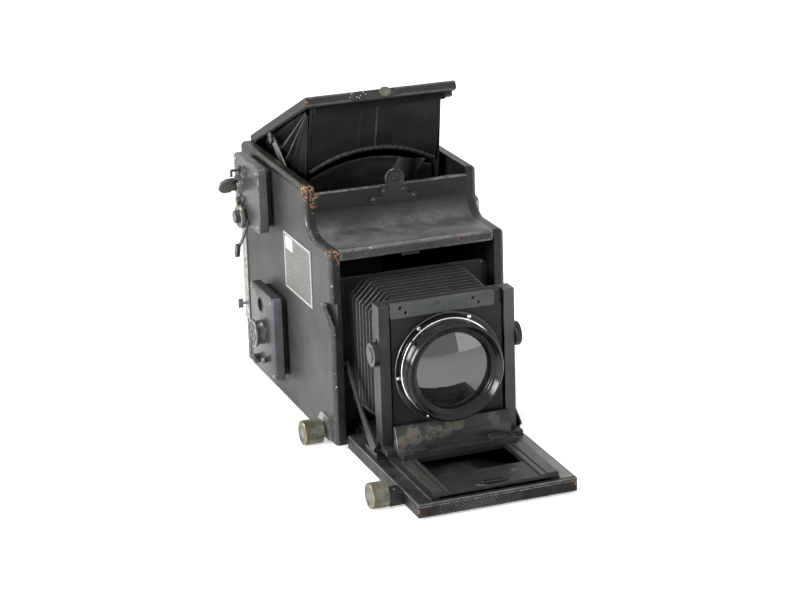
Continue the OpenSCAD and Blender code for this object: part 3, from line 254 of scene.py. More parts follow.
# Colours that several finishes share
RUBBED_OLIVE = (0.06, 0.056, 0.042)
PALE_NICK = (0.66, 0.62, 0.54)
COPPER_GLINT = (0.62, 0.36, 0.18)
TORN_DARK, TORN_BROWN = (0.016, 0.01, 0.009), (0.085, 0.036, 0.026)
RIM_DARK, RIM_WORN = (0.0075, 0.0072, 0.006), (0.03, 0.027, 0.018)
WORN_PATCH = (0.095, 0.089, 0.07)
BARE = (0.17, 0.165, 0.14)


def leather(name, base, depth, wear, grain=620, rough=0.5, wear_colour=(0.2, 0.19, 0.17), nick=0.5,
            scuff=0.3, worn_at=(), specular=0.25, hatch=0.0, rim_above=None, dark_above=None, seam_at=None,
            fade=None, edge=False):
    """Pebbled leather: dark between its grains, scuffed in patches, torn at worn_at; on an edge rubbed pale.

    It is mottled above rim_above and painted dark over the heights dark_above, a painted shade. fade is a
    painted shade along y:
    the y where it starts and ends, and the brightness at both. Its crossed lines, where asked for, are
    painted lighter in specks, a painted highlight."""
    m = Tree(name)
    cells = m.cells(grain)
    fine = m.noise(grain * 3.2, 4)
    colour = m.mix(m.clouds(24, 4, 0.6, 0.3, 0.7), tone(base, 0.62), tone(base, 1.45, 0.004))
    colour = m.mix(m.ramp(cells, 0.05, 0.6, 0.0, 0.55), colour, tone(base, 0.4))
    scuffs = m.mul(m.clouds(90, 5, 0.65, 0.56, 0.75), scuff, True)
    colour = m.mix(scuffs, colour, tone(base, 2.4, 0.02))
    height = m.add(cells, m.mul(fine, 0.3))
    up = m.share("Z", *dark_above) if dark_above else 0.0
    if hatch:
        lines = m.mul(m.hatched(0.0034), m.clouds(22, 3, 0.6, 0.42, 0.6, 0.12))
        lines = m.mul(lines, m.math("SUBTRACT", 1.0, up))
        # The crossed lines are painted lighter in specks: a painted highlight.
        sparkle = m.mul(lines, m.clouds(1100, 2, 0.55, 0.35, 0.6, 0.3))
        colour = m.mix(m.mul(sparkle, hatch, True), colour, tone(base, 4.5, 0.07))
        height = m.add(height, m.mul(lines, 0.8))
    if rim_above:
        high = m.ramp(m.share("Z", rim_above, rim_above + 8), 0.4, 0.55)
        mottled = m.clouds(150, 6, 0.72, 0.42, 0.66, 0.0, 0.95)
        colour = m.mix(high, colour, m.mix(mottled, RIM_DARK, RIM_WORN))
    # Painted shade: over these heights the colour is painted nearly black.
    if dark_above:
        colour = m.mix(m.ramp(up, 0.0, 1.0, 0.0, 0.97), colour, tone(base, 0.06))
    # Painted shade: the colour is multiplied by a brightness ramp along y.
    if fade:
        y0, y1, first, last = fade
        light = m.ramp(m.share("Y", y0, y1), 0.0, 1.0, first, last, (0.36, first * 0.42 + last * 0.58))
        colour = m.mix(1.0, colour, light, "MULTIPLY")
    if seam_at:
        near = m.math("LESS_THAN", m.off(m.axis("Y"), P(0, seam_at, 0).y), 0.45 * MM)
        line = m.mul(near, m.clouds(60, 4, 0.55, 0.4, 0.6, 0.1, 0.7))
        colour = m.mix(line, colour, tone(base, 1.7, 0.02))
    if edge:
        rubbed = m.mul(m.clouds(160, 6, 0.75, 0.4, 0.64, 0.1), wear, True)
        colour = m.mix(rubbed, colour, wear_colour)
        nicks = m.mul(m.clouds(330, 3, 0.6, 0.65, 0.68), m.clouds(45, 3, 0.55, 0.4, 0.6))
        colour = m.mix(m.mul(nicks, nick, True), colour, PALE_NICK)
    if worn_at:
        torn = m.ramp(m.wear_near(worn_at, 0.5, 230), 0.545, 0.59)
        # The thin bright copper veins in the tears are painted glints; the dark and brown tears are wear.
        glint_veins = m.ramp(m.off(m.noise(210, 4, 0.65), 0.5), 0.006, 0.02, 1.0, 0.0)
        brown = m.mix(m.clouds(420, 4, 0.7, 0.4, 0.62), TORN_DARK, TORN_BROWN)
        colour = m.mix(torn, colour, m.mix(glint_veins, brown, COPPER_GLINT))
        height = m.add(height, m.mul(torn, -1.2))
    return m.set(base=colour, rough=m.ramp(m.add(fine, scuffs), 0.3, 1.0, rough - 0.1, rough + 0.2),
                 specular=specular * (2 if edge else 1), Normal=m.bump(height, depth))


def enamel(name, base, rough, wear, worn, metal_below=0.7, specular=0.35, worn_at=(), edge=False):
    """Baked enamel or stain: faintly mottled and rubbed in patches; on an edge chipped to what lies below."""
    m = Tree(name)
    fine = m.noise(900, 3)
    colour = m.mix(m.clouds(45, 4, 0.6, 0.3, 0.75), tone(base, 0.75), tone(base, 1.5, 0.004))
    if worn_at:
        below = m.mix(m.noise(300, 5), tone(WORN_PATCH, 0.6), tone(WORN_PATCH, 1.4))
        colour = m.mix(m.ramp(m.wear_near(worn_at, 0.3, 85), 0.56, 0.6, 0.0, 0.9), colour, below)
    mask = m.mul(m.clouds(38, 6, 0.75, 0.6, 0.78), wear * 0.5, True)
    if edge:
        chips = m.mul(m.clouds(150, 6, 0.72, 0.42, 0.6, 0.1), min(1.0, wear * 1.8), True)
        mask = m.math("MAXIMUM", chips, mask)
        if metal_below:
            m.set(metallic=m.mul(chips, metal_below))
    return m.set(base=m.mix(mask, colour, worn), specular=specular,
                 rough=m.ramp(fine, 0.2, 0.9, rough - 0.08, rough + 0.16),
                 Normal=m.bump(m.add(fine, m.mul(mask, -1.4)), 0.00004))


def metal(name, base, dirt, rough, tarnish, per_m=120):
    """Plated metal with tarnish in clouds and fine wiping marks."""
    m = Tree(name)
    spots = m.clouds(per_m, 6, 0.7, 0.42, 0.72)
    wiped = m.mul(m.noise(2600, 2, 0.5, m.scaled((1.0, 0.12, 1.0))), 0.4)
    mask = m.mul(spots, tarnish, True)
    return m.set(base=m.mix(mask, base, dirt), metallic=m.ramp(mask, 0.0, 1.0, 1.0, 0.35),
                 rough=m.ramp(m.add(wiped, mask), 0.1, 1.2, rough, rough + 0.35),
                 Normal=m.bump(m.add(m.mul(spots, -0.6), wiped), 0.00003))


def folded_leather(name, base, ridge, rough, specular):
    """Thin soft leather, pale along the folds that the piece's fold attribute marks: rubbed, and on the
    hood's rolls also a painted highlight on their upper side.
    """
    m = Tree(name)
    broken = m.clouds(240, 5, 0.7, 0.34, 0.62, 0.25)
    colour = m.mix(m.clouds(40, 4, 0.6, 0.3, 0.75), tone(base, 0.65), tone(base, 1.5, 0.003))
    mask = m.mul(m.ramp(m.attribute("fold"), 0.5, 1.0), broken, True)
    return m.set(base=m.mix(mask, colour, ridge), specular=specular,
                 rough=m.ramp(m.noise(500, 4), 0.25, 0.8, rough - 0.08, rough + 0.14),
                 Normal=m.bump(m.add(m.cells(1100), m.noise(300, 5)), 0.00007))


def ruled_plate():
    """Pale metal plate with a printed border, ruled rows and a bare white field in its rear upper corner."""
    m = Tree("ruled_plate")
    along, up = m.share("Y", 48.5, 123.5), m.share("Z", 114, 167)

    def field(y, z):
        """1 inside a rectangle, given by shares of the plate's length and height."""
        bands = [m.mul(m.math("GREATER_THAN", v, low), m.math("LESS_THAN", v, high))
                 for v, (low, high) in ((along, y), (up, z))]
        return m.mul(*bands)

    dashes = m.ramp(m.noise(760, 2, 0.5, m.scaled((1, 1, 0.35))), 0.42, 0.5, 0.35)
    rows = m.math("MAXIMUM", m.mul(m.stripes(up, 15.0, 0.5), dashes), m.stripes(along, 4.0, 0.02))
    printed = m.mul(rows, field((0.05, 0.95), (0.05, 0.93)))
    border = m.math("SUBTRACT", 1.0, field((0.03, 0.97), (0.035, 0.965)))
    rim = m.mul(border, m.clouds(300, 4, 0.55, 0.3, 0.6, 0.6))
    ground = m.mix(m.noise(160, 5, 0.7), (0.08, 0.078, 0.068), (0.165, 0.162, 0.145))
    colour = m.mix(m.mul(printed, 0.85), ground, (0.035, 0.035, 0.033))
    colour = m.mix(field((0.68, 0.93), (0.72, 0.94)), colour, (0.86, 0.86, 0.84))
    return m.set(base=m.mix(rim, colour, (0.52, 0.51, 0.47)), metallic=m.mul(rim, 0.7),
                 rough=m.clouds(400, 3, 0.55, 0.3, 0.7, 0.35, 0.5),
                 Normal=m.bump(m.add(printed, m.noise(900)), 0.00002))


def scale_plate():
    """Dark focusing scale with fine engraved lines, longer at every fifth."""
    m = Tree("focusing_scale")
    short = m.mul(m.stripes(m.axis("Y"), 260.0, 0.2), m.math("GREATER_THAN", m.axis("X"), 65.5 * MM))
    marks = m.math("MAXIMUM", short, m.stripes(m.axis("Y"), 52.0, 0.04))
    ground = m.mix(m.clouds(60, 5, 0.6, 0.35, 0.75), (0.21, 0.207, 0.187), (0.12, 0.12, 0.108))
    return m.set(base=m.mix(m.mul(marks, 0.35), ground, (0.34, 0.33, 0.3)), metallic=0.3,
                 rough=m.clouds(500, 3, 0.55, 0.3, 0.7, 0.32, 0.5), Normal=m.bump(m.noise(700), 0.00002))


def plain(name, low, high, per_m, rough, bump=0.0, **values):
    """A quiet mottled finish between two colours."""
    m = Tree(name)
    if bump:
        m.set(Normal=m.bump(m.noise(per_m * 3), bump))
    return m.set(base=m.mix(m.noise(per_m), low, high), rough=rough, **values)


# Places where leather or paint is worn through: x, y, z and radius
CASE_WEAR = [(-80, 66, 221, 11), (-75, 62, 220, 9), (-75, 60, 212, 8), (-82, 62, 212, 7), (-74, 62, 205, 6),
             (-74, 60, 198, 5.5), (-74, 56, 192, 5), (-74, 50, 186, 4.5), (-80, 8, 180, 9), (-75, 2, 176, 8),
             (-74, 0, 170, 6), (-80, 247, 221, 4)]
LID_WEAR = [(-71, *lid_point(65, 221), 6), (-70, *lid_point(68, 224), 4), (70, *lid_point(65, 224), 3)]
FRONT_WEAR = [(-71, 62, 214, 6), (-71, 60, 204, 5), (-70, 54, 192, 4), (-71, 3, 178, 5), (38, 0, 176, 2.5),
              (70, 1, 178, 3)]
BED_WEAR = [(-71, -175, 3, 3), (71, -175, 4, 3)]
BAR_WEAR = [(-50, -77, 23, 15), (-36, -76, 28, 16), (-22, -75, 30, 16), (-8, -75, 31, 15), (4, -74, 32, 12),
            (38, -74, 32, 12)]

M = {
    "hood": folded_leather("hood_leather", (0.0085, 0.0085, 0.0088), (0.085, 0.083, 0.075), 0.5, 0.2),
    "gusset": folded_leather("gusset_leather", (0.0045, 0.0045, 0.0047), (0.2, 0.2, 0.195), 0.5, 0.15),
    "bellows": folded_leather("bellows_leather", (0.0085, 0.0085, 0.009), (0.25, 0.25, 0.245), 0.42, 0.22),
    "nickel": metal("aged_nickel", (0.36, 0.35, 0.32), (0.05, 0.045, 0.035), 0.28, 0.85),
    "dark_nickel": metal("dark_nickel", (0.115, 0.113, 0.105), (0.02, 0.02, 0.018), 0.28, 0.8),
    "bright": metal("bright_nickel", (0.9, 0.89, 0.87), (0.25, 0.23, 0.2), 0.12, 0.2),
    "olive": metal("olive_brass", (0.165, 0.163, 0.13), (0.03, 0.028, 0.022), 0.36, 0.75),
    "olive_edge": metal("knob_face", (0.15, 0.15, 0.145), (0.1, 0.1, 0.09), 0.3, 0.6),
    "clamp": metal("clamp_metal", (0.17, 0.17, 0.16), (0.05, 0.05, 0.045), 0.5, 0.7, 420),
    "brass": metal("worn_brass", (0.4, 0.34, 0.19), (0.07, 0.055, 0.03), 0.33, 0.7),
    # A lighter copy of the housing enamel for the covers' front faces: painted light.
    "housing_front_painted_light": enamel("housing_front_painted_light", (0.08, 0.084, 0.09), 0.4, 0.2, (0.3, 0.3, 0.28)),
    "line": enamel("rubbed_line", (0.105, 0.1, 0.088), 0.36, 0.7, (0.34, 0.33, 0.29)),
    "paper": ruled_plate(),
    "scale": scale_plate(),
    "glass": plain("lens_glass", (0.012, 0.013, 0.014), (0.018, 0.019, 0.021), 30, 0.02, IOR=1.95),
    "ground": plain("ground_glass", (0.35, 0.36, 0.35), (0.42, 0.43, 0.42), 60, 0.45, 0.00001),
    "mirror": plain("mirror_silver", (0.82, 0.83, 0.84), grey(0.9), 50, 0.03, metallic=1.0),
    "cloth": plain("curtain_cloth", grey(0.012), grey(0.022), 900, 0.75, 0.00003),
    "white": plain("white_filling", (0.6, 0.6, 0.57), (0.75, 0.75, 0.72), 300, 0.5),
    "bare_wood": plain("bare_wood", (0.28, 0.17, 0.09), (0.45, 0.31, 0.17), 90, 0.5, 0.00002),
}


def both(kind, key, title, *values, **more):
    """A finish and the one for its edges, kept under key and key_edge."""
    M[key] = kind(title, *values, **more)
    M[key + "_edge"] = kind(title + "_edge", *values, edge=True, **more)


# Painted shade: the case leather darkens towards the rear along y.
both(leather, "case", "case_leather", (0.058, 0.059, 0.059), 0.00005, 0.6, 700, 0.42, RUBBED_OLIVE, 0.8, 0.15,
     CASE_WEAR, 0.11, seam_at=9.5, rim_above=213, fade=(45, 235, 1.0, 0.58))
both(leather, "front", "front_leather", grey(0.036), 0.00022, 0.75, rough=0.42, scuff=0.35,
     worn_at=FRONT_WEAR + CASE_WEAR, specular=0.3, hatch=0.3)
# Painted shade: the rim leather darkens towards the rear along y.
both(leather, "rim", "rim_leather", (0.018, 0.018, 0.017), 0.00026, 0.6, rough=0.3, wear_colour=RUBBED_OLIVE,
     nick=0.9, worn_at=CASE_WEAR, specular=0.24, hatch=0.16, rim_above=214, fade=(70, 245, 1.0, 0.3))
# Painted shade: the slope is painted dark over the wall above it and darker towards its front edge.
both(leather, "slope", "slope_leather", (0.053, 0.053, 0.05), 0.00022, 0.8, rough=0.4, worn_at=FRONT_WEAR,
     specular=0.3, hatch=0.8, dark_above=(182, 199), fade=(0, 24, 0.45, 1.0))
both(leather, "wall", "wall_leather", grey(0.012), 0.00018, 0.8, rough=0.45, scuff=0.25, worn_at=FRONT_WEAR,
     specular=0.15, hatch=0.12)
both(leather, "lid", "lid_leather", grey(0.027), 0.00014, 0.35, 560, 0.48, nick=0.25, scuff=0.45,
     worn_at=LID_WEAR)
both(leather, "bed", "bed_leather", grey(0.011), 0.00018, 0.9, 560, wear_colour=(0.3, 0.29, 0.26), scuff=0.5,
     worn_at=BED_WEAR, hatch=0.9, specular=0.13)
both(leather, "strap", "strap_leather", (0.03, 0.026, 0.022), 0.0001, 0.6, 900,
     wear_colour=(0.15, 0.09, 0.05))
both(enamel, "inside", "inside_black", (0.004, 0.004, 0.0045), 0.6, 0.1, (0.06, 0.05, 0.04), 0.0, 0.12)
both(enamel, "wood", "ebonised_wood", (0.012, 0.012, 0.0125), 0.42, 0.4, (0.1, 0.085, 0.065), 0.0, 0.2)
both(enamel, "enamel", "black_enamel", (0.012, 0.0125, 0.013), 0.36, 0.5, BARE, specular=0.3)
both(enamel, "stand", "standard_enamel", (0.026, 0.0285, 0.03), 0.33, 0.55, (0.3, 0.29, 0.26),
     worn_at=BAR_WEAR)
# The bar finish also paints the left upright's front darker, and the clip finish the right one's lighter:
# painted shade and painted light.
both(enamel, "bar", "bar_enamel", (0.017, 0.0185, 0.0195), 0.36, 0.5, BARE, specular=0.3, worn_at=BAR_WEAR)
both(enamel, "clip", "clip_enamel", (0.05, 0.055, 0.058), 0.36, 0.5, (0.3, 0.3, 0.28))
both(enamel, "rail", "rail_enamel", (0.011, 0.0115, 0.011), 0.4, 0.9, (0.27, 0.26, 0.22))
both(enamel, "housing", "grey_enamel", (0.025, 0.0265, 0.028), 0.28, 0.3, (0.3, 0.3, 0.28), specular=0.26)
both(enamel, "rib", "rail_top", (0.036, 0.036, 0.032), 0.34, 1.0, (0.34, 0.33, 0.28))
both(enamel, "worn_plate", "worn_plate", (0.022, 0.021, 0.019), 0.4, 0.9, (0.16, 0.15, 0.11), 0.8)
both(enamel, "barrel", "lens_black", (0.005, 0.005, 0.0055), 0.13, 0.08, (0.25, 0.24, 0.22), 0.8, 0.32)


# Camera, lights and floor

def shown(name, data):
    """A new object with its data, linked into the scene."""
    obj = bpy.data.objects.new(name, data)
    bpy.context.scene.collection.objects.link(obj)
    return obj


def look_from(location, right, up, back, lens):
    data = bpy.data.cameras.new("camera")
    data.sensor_width, data.lens = 36.0, lens
    data.clip_start, data.clip_end = 0.1, 30.0
    m = Matrix([Vector(v).normalized() for v in (right, up, back)]).transposed().to_4x4()
    m.translation = Vector(location)
    bpy.context.scene.camera = shown("camera", data)
    bpy.context.scene.camera.matrix_world = m


def area_light(name, at, to, size, power):
    data = bpy.data.lights.new(name, "AREA")
    data.shape, data.energy = "RECTANGLE", power
    data.size, data.size_y = size
    o = shown(name, data)
    o.location = at
    o.rotation_mode = "QUATERNION"
    o.rotation_quaternion = (Vector(to) - Vector(at)).to_track_quat("-Z", "Y")


def white_for_the_eye(t, low, high):
    """A strength that is high for camera, glossy and transmission rays and low for the light itself."""
    path = t.nodes.new("ShaderNodeLightPath")
    total = path.outputs["Is Camera Ray"]
    for other in ("Is Glossy Ray", "Is Transmission Ray"):
        n = t.nodes.new("ShaderNodeMath")
        n.operation, n.use_clamp = "ADD", True
        t.links.new(total, n.inputs[0])
        t.links.new(path.outputs[other], n.inputs[1])
        total = n.outputs[0]
    n = t.nodes.new("ShaderNodeMapRange")
    n.inputs["To Min"].default_value, n.inputs["To Max"].default_value = low, high
    t.links.new(total, n.inputs["Value"])
    return n.outputs["Result"]


def stage_and_light():
    """A white floor below the feet, a white world and three area lights."""
    mesh = bpy.data.meshes.new("floor")
    s, z = 9.0, -0.005
    mesh.from_pydata([(-s, -s, z), (s, -s, z), (s, s, z), (-s, s, z)], [], [(0, 1, 2, 3)])
    m = Tree("floor_white")
    m.set(Emission_Strength=white_for_the_eye(m.t, 0.0, 0.55))
    mesh.materials.append(m.set(base=grey(0.93), rough=0.9, specular=0.1, Emission_Color=grey(1.0)))
    shown("floor", mesh)
    world = bpy.data.worlds.new("studio")
    bpy.context.scene.world = world
    world.use_nodes = True
    bg = world.node_tree.nodes["Background"]
    bg.inputs["Color"].default_value = (1.0, 1.0, 1.0, 1)
    world.node_tree.links.new(white_for_the_eye(world.node_tree, 0.34, 0.95), bg.inputs["Strength"])
    area_light("left", (-2.1, -0.65, 0.85), (0, -0.05, 0.1), (0.9, 0.9), 62)
    area_light("top", (-0.3, 0.3, 2.3), (0, 0, 0.1), (1.2, 1), 34)
    area_light("window", (1.45, -2.1, 0.62), (0, -0.2, 0.1), (1.15, 1.35), 8)
    bpy.context.scene.view_settings.view_transform = "Standard"


look_from((-0.727, -2.04753, 0.80272), (0.934714, -0.354187, -0.029342), (0.136785, 0.282319, 0.949519),
          (-0.328024, -0.891542, 0.312335), 110.7)
stage_and_light()


# Shared steps of modelling

def only(*objs):
    """Leaves edit mode and selects these objects alone, the first one active."""
    if bpy.context.object and bpy.context.object.mode != "OBJECT":
        bpy.ops.object.mode_set(mode="OBJECT")
    bpy.ops.object.select_all(action="DESELECT")
    for obj in objs:
        obj.select_set(True)
    if objs:
        bpy.context.view_layer.objects.active = objs[0]


@contextlib.contextmanager
def editing(mesh):
    """A mesh opened for editing and written back."""
    bm = bmesh.new()
    bm.from_mesh(mesh)
    yield bm
    bm.to_mesh(mesh)
    bm.free()


def slab(name, x, y, z):
    """A box between limits in millimetres, to be shaped further."""
    lo, hi = P(x[0], y[0], z[0]), P(x[1], y[1], z[1])
    only()
    bpy.ops.mesh.primitive_cube_add(size=1.0, location=(lo + hi) / 2, scale=hi - lo)
    obj = bpy.context.object
    obj.name = obj.data.name = name
    bpy.ops.object.transform_apply(location=True, rotation=True, scale=True)
    return obj


def from_points(name, verts, edges=(), faces=()):
    me = bpy.data.meshes.new(name)
    me.from_pydata([tuple(v) for v in verts], edges, faces)
    return shown(name, me)


def in_edit_mode(obj, *steps):
    """Runs mesh operators, each (name, settings), on all of a piece."""
    only(obj)
    bpy.ops.object.mode_set(mode="EDIT")
    bpy.ops.mesh.select_all(action="SELECT")
    for name, settings in steps:
        getattr(bpy.ops.mesh, name)(**settings)
    bpy.ops.object.mode_set(mode="OBJECT")
    return obj


def tidy_normals(obj, dist=1e-6):
    return in_edit_mode(obj, ("remove_doubles", dict(threshold=dist)),
                        ("normals_make_consistent", dict(inside=False)))


def modify(obj, kind, **settings):
    """One modifier, set and applied at once."""
    only(obj)
    m = obj.modifiers.new(kind.lower(), kind)
    for k, v in settings.items():
        setattr(m, k, v)
    bpy.ops.object.modifier_apply(modifier=m.name)
    return obj


def combine(obj, other, operation="DIFFERENCE"):
    """Cuts another piece out of a piece or joins it on, and removes it."""
    modify(obj, "BOOLEAN", object=other, operation=operation, solver="EXACT")
    bpy.data.objects.remove(other)
    return obj


def smoothed(obj, angle=40):
    only(obj)
    bpy.ops.object.shade_smooth_by_angle(angle=math.radians(angle))
    return obj


def two_slots(obj):
    """Makes room for a piece's own material and the one of its edges."""
    while len(obj.data.materials) < 2:
        obj.data.materials.append(None)


def bevelled(obj, width, segments, **settings):
    """Bevels a piece; the new faces take its second material, its edge finish."""
    two_slots(obj)
    modify(obj, "BEVEL", width=width * MM, segments=segments, material=1, **settings)
    return modify(smoothed(obj), "WEIGHTED_NORMAL", mode="FACE_AREA", weight=100, keep_sharp=True)


# The angle in degrees from which an edge counts as sharp
SHARP = 28


def rounded(obj, width, segments=2):
    """Rounds the sharp edges."""
    return bevelled(obj, width, segments, limit_method="ANGLE", angle_limit=math.radians(SHARP),
                    use_clamp_overlap=True, miter_outer="MITER_ARC")


def round_chosen(obj, width, segments, chosen):
    """Rounds only the sharp edges for which chosen(a, b) holds."""
    obj.data.attributes.new("bevel_weight_edge", "FLOAT", "EDGE")
    with editing(obj.data) as bm:
        layer = bm.edges.layers.float["bevel_weight_edge"]
        for e in bm.edges:
            if e.is_manifold and e.calc_face_angle(0.0) > math.radians(SHARP):
                e[layer] = float(chosen(e.verts[0].co, e.verts[1].co))
    return bevelled(obj, width, segments, limit_method="WEIGHT", use_clamp_overlap=False,
                    miter_outer="MITER_SHARP")


def round_corners(obj, axis, r, segments=6):
    """Rounds a box's four edges that run along an axis."""
    with editing(obj.data) as bm:
        edges = [e for e in bm.edges if abs((e.verts[0].co - e.verts[1].co).normalized()[axis]) > 0.99]
        bmesh.ops.bevel(bm, geom=edges, offset=r * MM, segments=segments, profile=0.5, affect="EDGES")
    return obj


def loop(*profile):
    """A profile that closes on itself."""
    return [*profile, profile[0]]


def turned(name, profile, sides):
    """A piece turned about +Z: its (radius, height) profile in millimetres, spun round the axis."""
    points = [(r * MM, 0, h * MM) for r, h in profile]
    obj = from_points(name, points, [(i, i + 1) for i in range(len(profile) - 1)])
    spin = dict(steps=sides, angle=2 * math.pi, center=(0, 0, 0), axis=(0, 0, 1))
    return tidy_normals(in_edit_mode(obj, ("spin", spin)))


def knurl(obj, r_min, ribs, depth, lo=-1e9, hi=1e9):
    """Draws in every second row of points outside r_min and between two heights, for a ribbed rim."""
    for v in obj.data.vertices:
        r = math.hypot(v.co.x, v.co.y)
        row = round(math.atan2(v.co.y, v.co.x) / (math.pi / ribs))
        if r > r_min * MM and row % 2 and lo * MM <= v.co.z <= hi * MM:
            k = 1 - depth * MM / r
            v.co.x, v.co.y = v.co.x * k, v.co.y * k
    return obj


QUARTER = math.pi / 2
AXES = {"-X": Matrix.Rotation(-QUARTER, 4, "Y"), "+X": Matrix.Rotation(QUARTER, 4, "Y"),
        "-Y": Matrix.Rotation(QUARTER, 4, "X"), "+Z": Matrix.Identity(4)}


def put(obj, axis, at):
    """Turns a piece's +Z to the axis and moves its origin to the place, in its mesh."""
    obj.data.transform(Matrix.Translation(at) @ AXES[axis])
    return obj


def copy_of(obj, name, matrix):
    """A copy of a piece, moved in its mesh."""
    new = shown(name, obj.data.copy())
    new.data.transform(matrix)
    return new


def join(name, parts):
    """Several pieces made one object under a name."""
    only(*parts)
    if len(parts) > 1:
        bpy.ops.object.join()
    parts[0].name = parts[0].data.name = name
    return parts[0]


def finished(obj, body, material, *nodes, slot=None):
    """Gives a piece its finish, the body it rides on and the nodes it stands for. slot is not used."""
    edged = material + "_edge" in M and len(obj.data.materials) > 1
    marks = [f.material_index for f in obj.data.polygons]
    obj.data.materials.clear()
    obj.data.materials.append(M[material])
    if edged:
        obj.data.materials.append(M[material + "_edge"])
        obj.data.polygons.foreach_set("material_index", marks)
    if body:
        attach(obj, body)
    if nodes:
        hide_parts(*nodes)
    return obj


def lathe(name, profile, sides, axis, at, body, material, *nodes, edge=0.0, slot=None):
    """A turned piece, put in place and finished, its edges rounded where edge says."""
    obj = put(turned(name, profile, sides), axis, at)
    return finished(rounded(obj, edge) if edge else smoothed(obj), body, material, *nodes, slot=slot)


def paint(obj, material, holds):
    """Gives the faces for which holds(face) is true another material."""
    obj.data.materials.append(M[material])
    index = len(obj.data.materials) - 1
    for face in obj.data.polygons:
        if holds(face):
            face.material_index = index


def dress(node, material, width, segments=3, chosen=None):
    """A copy of the CAD node's own shape with rounded edges, in its finish."""
    me = NODES[node].data.copy()
    me.materials.clear()
    with editing(me) as bm:
        bmesh.ops.remove_doubles(bm, verts=bm.verts, dist=2e-6)
        bmesh.ops.dissolve_limit(bm, angle_limit=math.radians(0.5), verts=bm.verts, edges=bm.edges)
    for a in list(me.attributes):
        if a.name.startswith("custom") or a.name == "sharp_face":
            me.attributes.remove(a)
    obj = shown(node + "_dressed", me)
    if chosen:
        round_chosen(obj, width, segments, chosen)
    else:
        rounded(obj, width, segments)
    return finished(obj, BODY_OF[node], material, node)


def dress_wall(node, inward):
    """A side wall: smooth leather outside, grained leather on its edges and lip, black inside.

    inward is the sign of x on its inner face, which is leather above rim_z."""
    outer_x, inner_x, rim_z = 82.3 * MM, 80 * MM, 177 * MM
    obj = dress(node, "case", 3.8, 6, lambda a, b: min(abs(a.x), abs(b.x)) > outer_x)

    def inside(face):
        return face.normal.x * inward > 0.92

    def at_edge(face, index):
        beside = abs(face.normal.x) < 0.92 or abs(face.center.x) < inner_x
        return beside and face.material_index == index and not inside(face)

    paint(obj, "rim", lambda f: at_edge(f, 0))
    paint(obj, "rim_edge", lambda f: at_edge(f, 1))
    paint(obj, "inside", lambda f: inside(f) and f.center.z < rim_z)
    paint(obj, "wall", lambda f: inside(f) and f.center.z >= rim_z)


def dress_roof():
    """The roof's grained slope and lip, with a plainer wall above, painted dark as painted shade."""
    obj = dress("roof_front", "slope", 1.6, 3, lambda a, b: abs(a.x - b.x) > 100 * MM)
    paint(obj, "inside", lambda f: f.normal.z < -0.7 or (f.normal.y > 0.7 and f.center.z < 200 * MM))


def mark_folds(obj, values):
    a = obj.data.attributes.new("fold", "FLOAT", "POINT")
    a.data.foreach_set("value", values)


# Screws: one head with its slot, copied to every place

def screw_head(name, r=1.75, h=0.9, slot=0.5):
    profile = [(0, h), (r * 0.55, h * 0.97), (r * 0.88, h * 0.72), (r, h * 0.3), (r, -0.2), (0, -0.2)]
    head = turned(name, profile, 24)
    across = (SOCKET_Y - slot / 2, SOCKET_Y + slot / 2)
    return smoothed(combine(head, slab("slot_cutter", (-1.5 * r, 1.5 * r), across, (h / 2, 1.5 * h))))


def screws():
    """Screws of the housings, strips, catch, lens and bed; each slot stands at its own random angle."""
    master = screw_head("screw_master")
    housings = [(-FACE_X, y, z) for y in (156, 218) for z in (162.6, 213.6)]
    housings += [(-FACE_X, y, z) for y in (128, 185) for z in (26, 97)]
    strip = [(-SIDE_X - 1, 247, 128), (-SIDE_X - 1, 252, 104)]
    catch = [(CATCH[0] + s * x, 61.5, z) for s in (-1, 1) for x, z in ((19, 202.95), (9, 209.96))]
    circle, around = 46.75, [math.radians(5 + 60 * i) for i in range(6)]
    rim = [(circle * math.cos(a), -68.5, LENS_Z + circle * math.sin(a)) for a in around]
    for name, axis, body, material, places in (
            ("housing_screws", "-X", "body", "nickel", housings),
            ("strip_screws", "-X", "body", "nickel", strip),
            ("catch_screws", "-Y", "body", "dark_nickel", catch),
            ("flange_screws", "-Y", "carrier", "bright", rim),
            ("clip_screw", "-Y", "carrier", "dark_nickel", [(-8.6, -67, 144)]),
            ("frame_screw", "-Y", "body", "dark_nickel", [(66.5, 15, 147)]),
            ("block_screw", "+Z", "body", "bright", [(-78.05, -133.5, 9)])):
        parts = []
        for at in places:
            spun = AXES[axis] @ Matrix.Rotation(random.uniform(0, math.pi), 4, "Z")
            parts.append(copy_of(master, name, Matrix.Translation(P(*at)) @ spun))
        finished(smoothed(join(name, parts)), body, material)
    bpy.data.objects.remove(master)


# Lens

def ring_marks():
    """White aperture numbers round the iris ring, 17 degrees apart."""
    radius, y, size = 43.92, -74.2, 2
    parts = []
    for i, text in enumerate(["4.5", "5.6", "8", "11", "16", "22", "32"]):
        curve = bpy.data.curves.new("mark", "FONT")
        curve.body, curve.size, curve.align_x, curve.align_y = text, size * MM, "CENTER", "CENTER"
        curve.extrude = 0.03 * MM
        only(shown("mark", curve))
        bpy.ops.object.convert(target="MESH")
        o = bpy.context.object
        spin = Matrix.Translation(P(0, y, LENS_Z)) @ Matrix.Rotation(-math.radians(196 + 17 * i), 4, "Y")
        out = Matrix.Translation((radius * MM, 0, 0)) @ AXES["+X"] @ Matrix.Rotation(math.pi, 4, "Z")
        o.data.transform(spin @ out)
        parts.append(o)
    return join("aperture_numbers", parts)


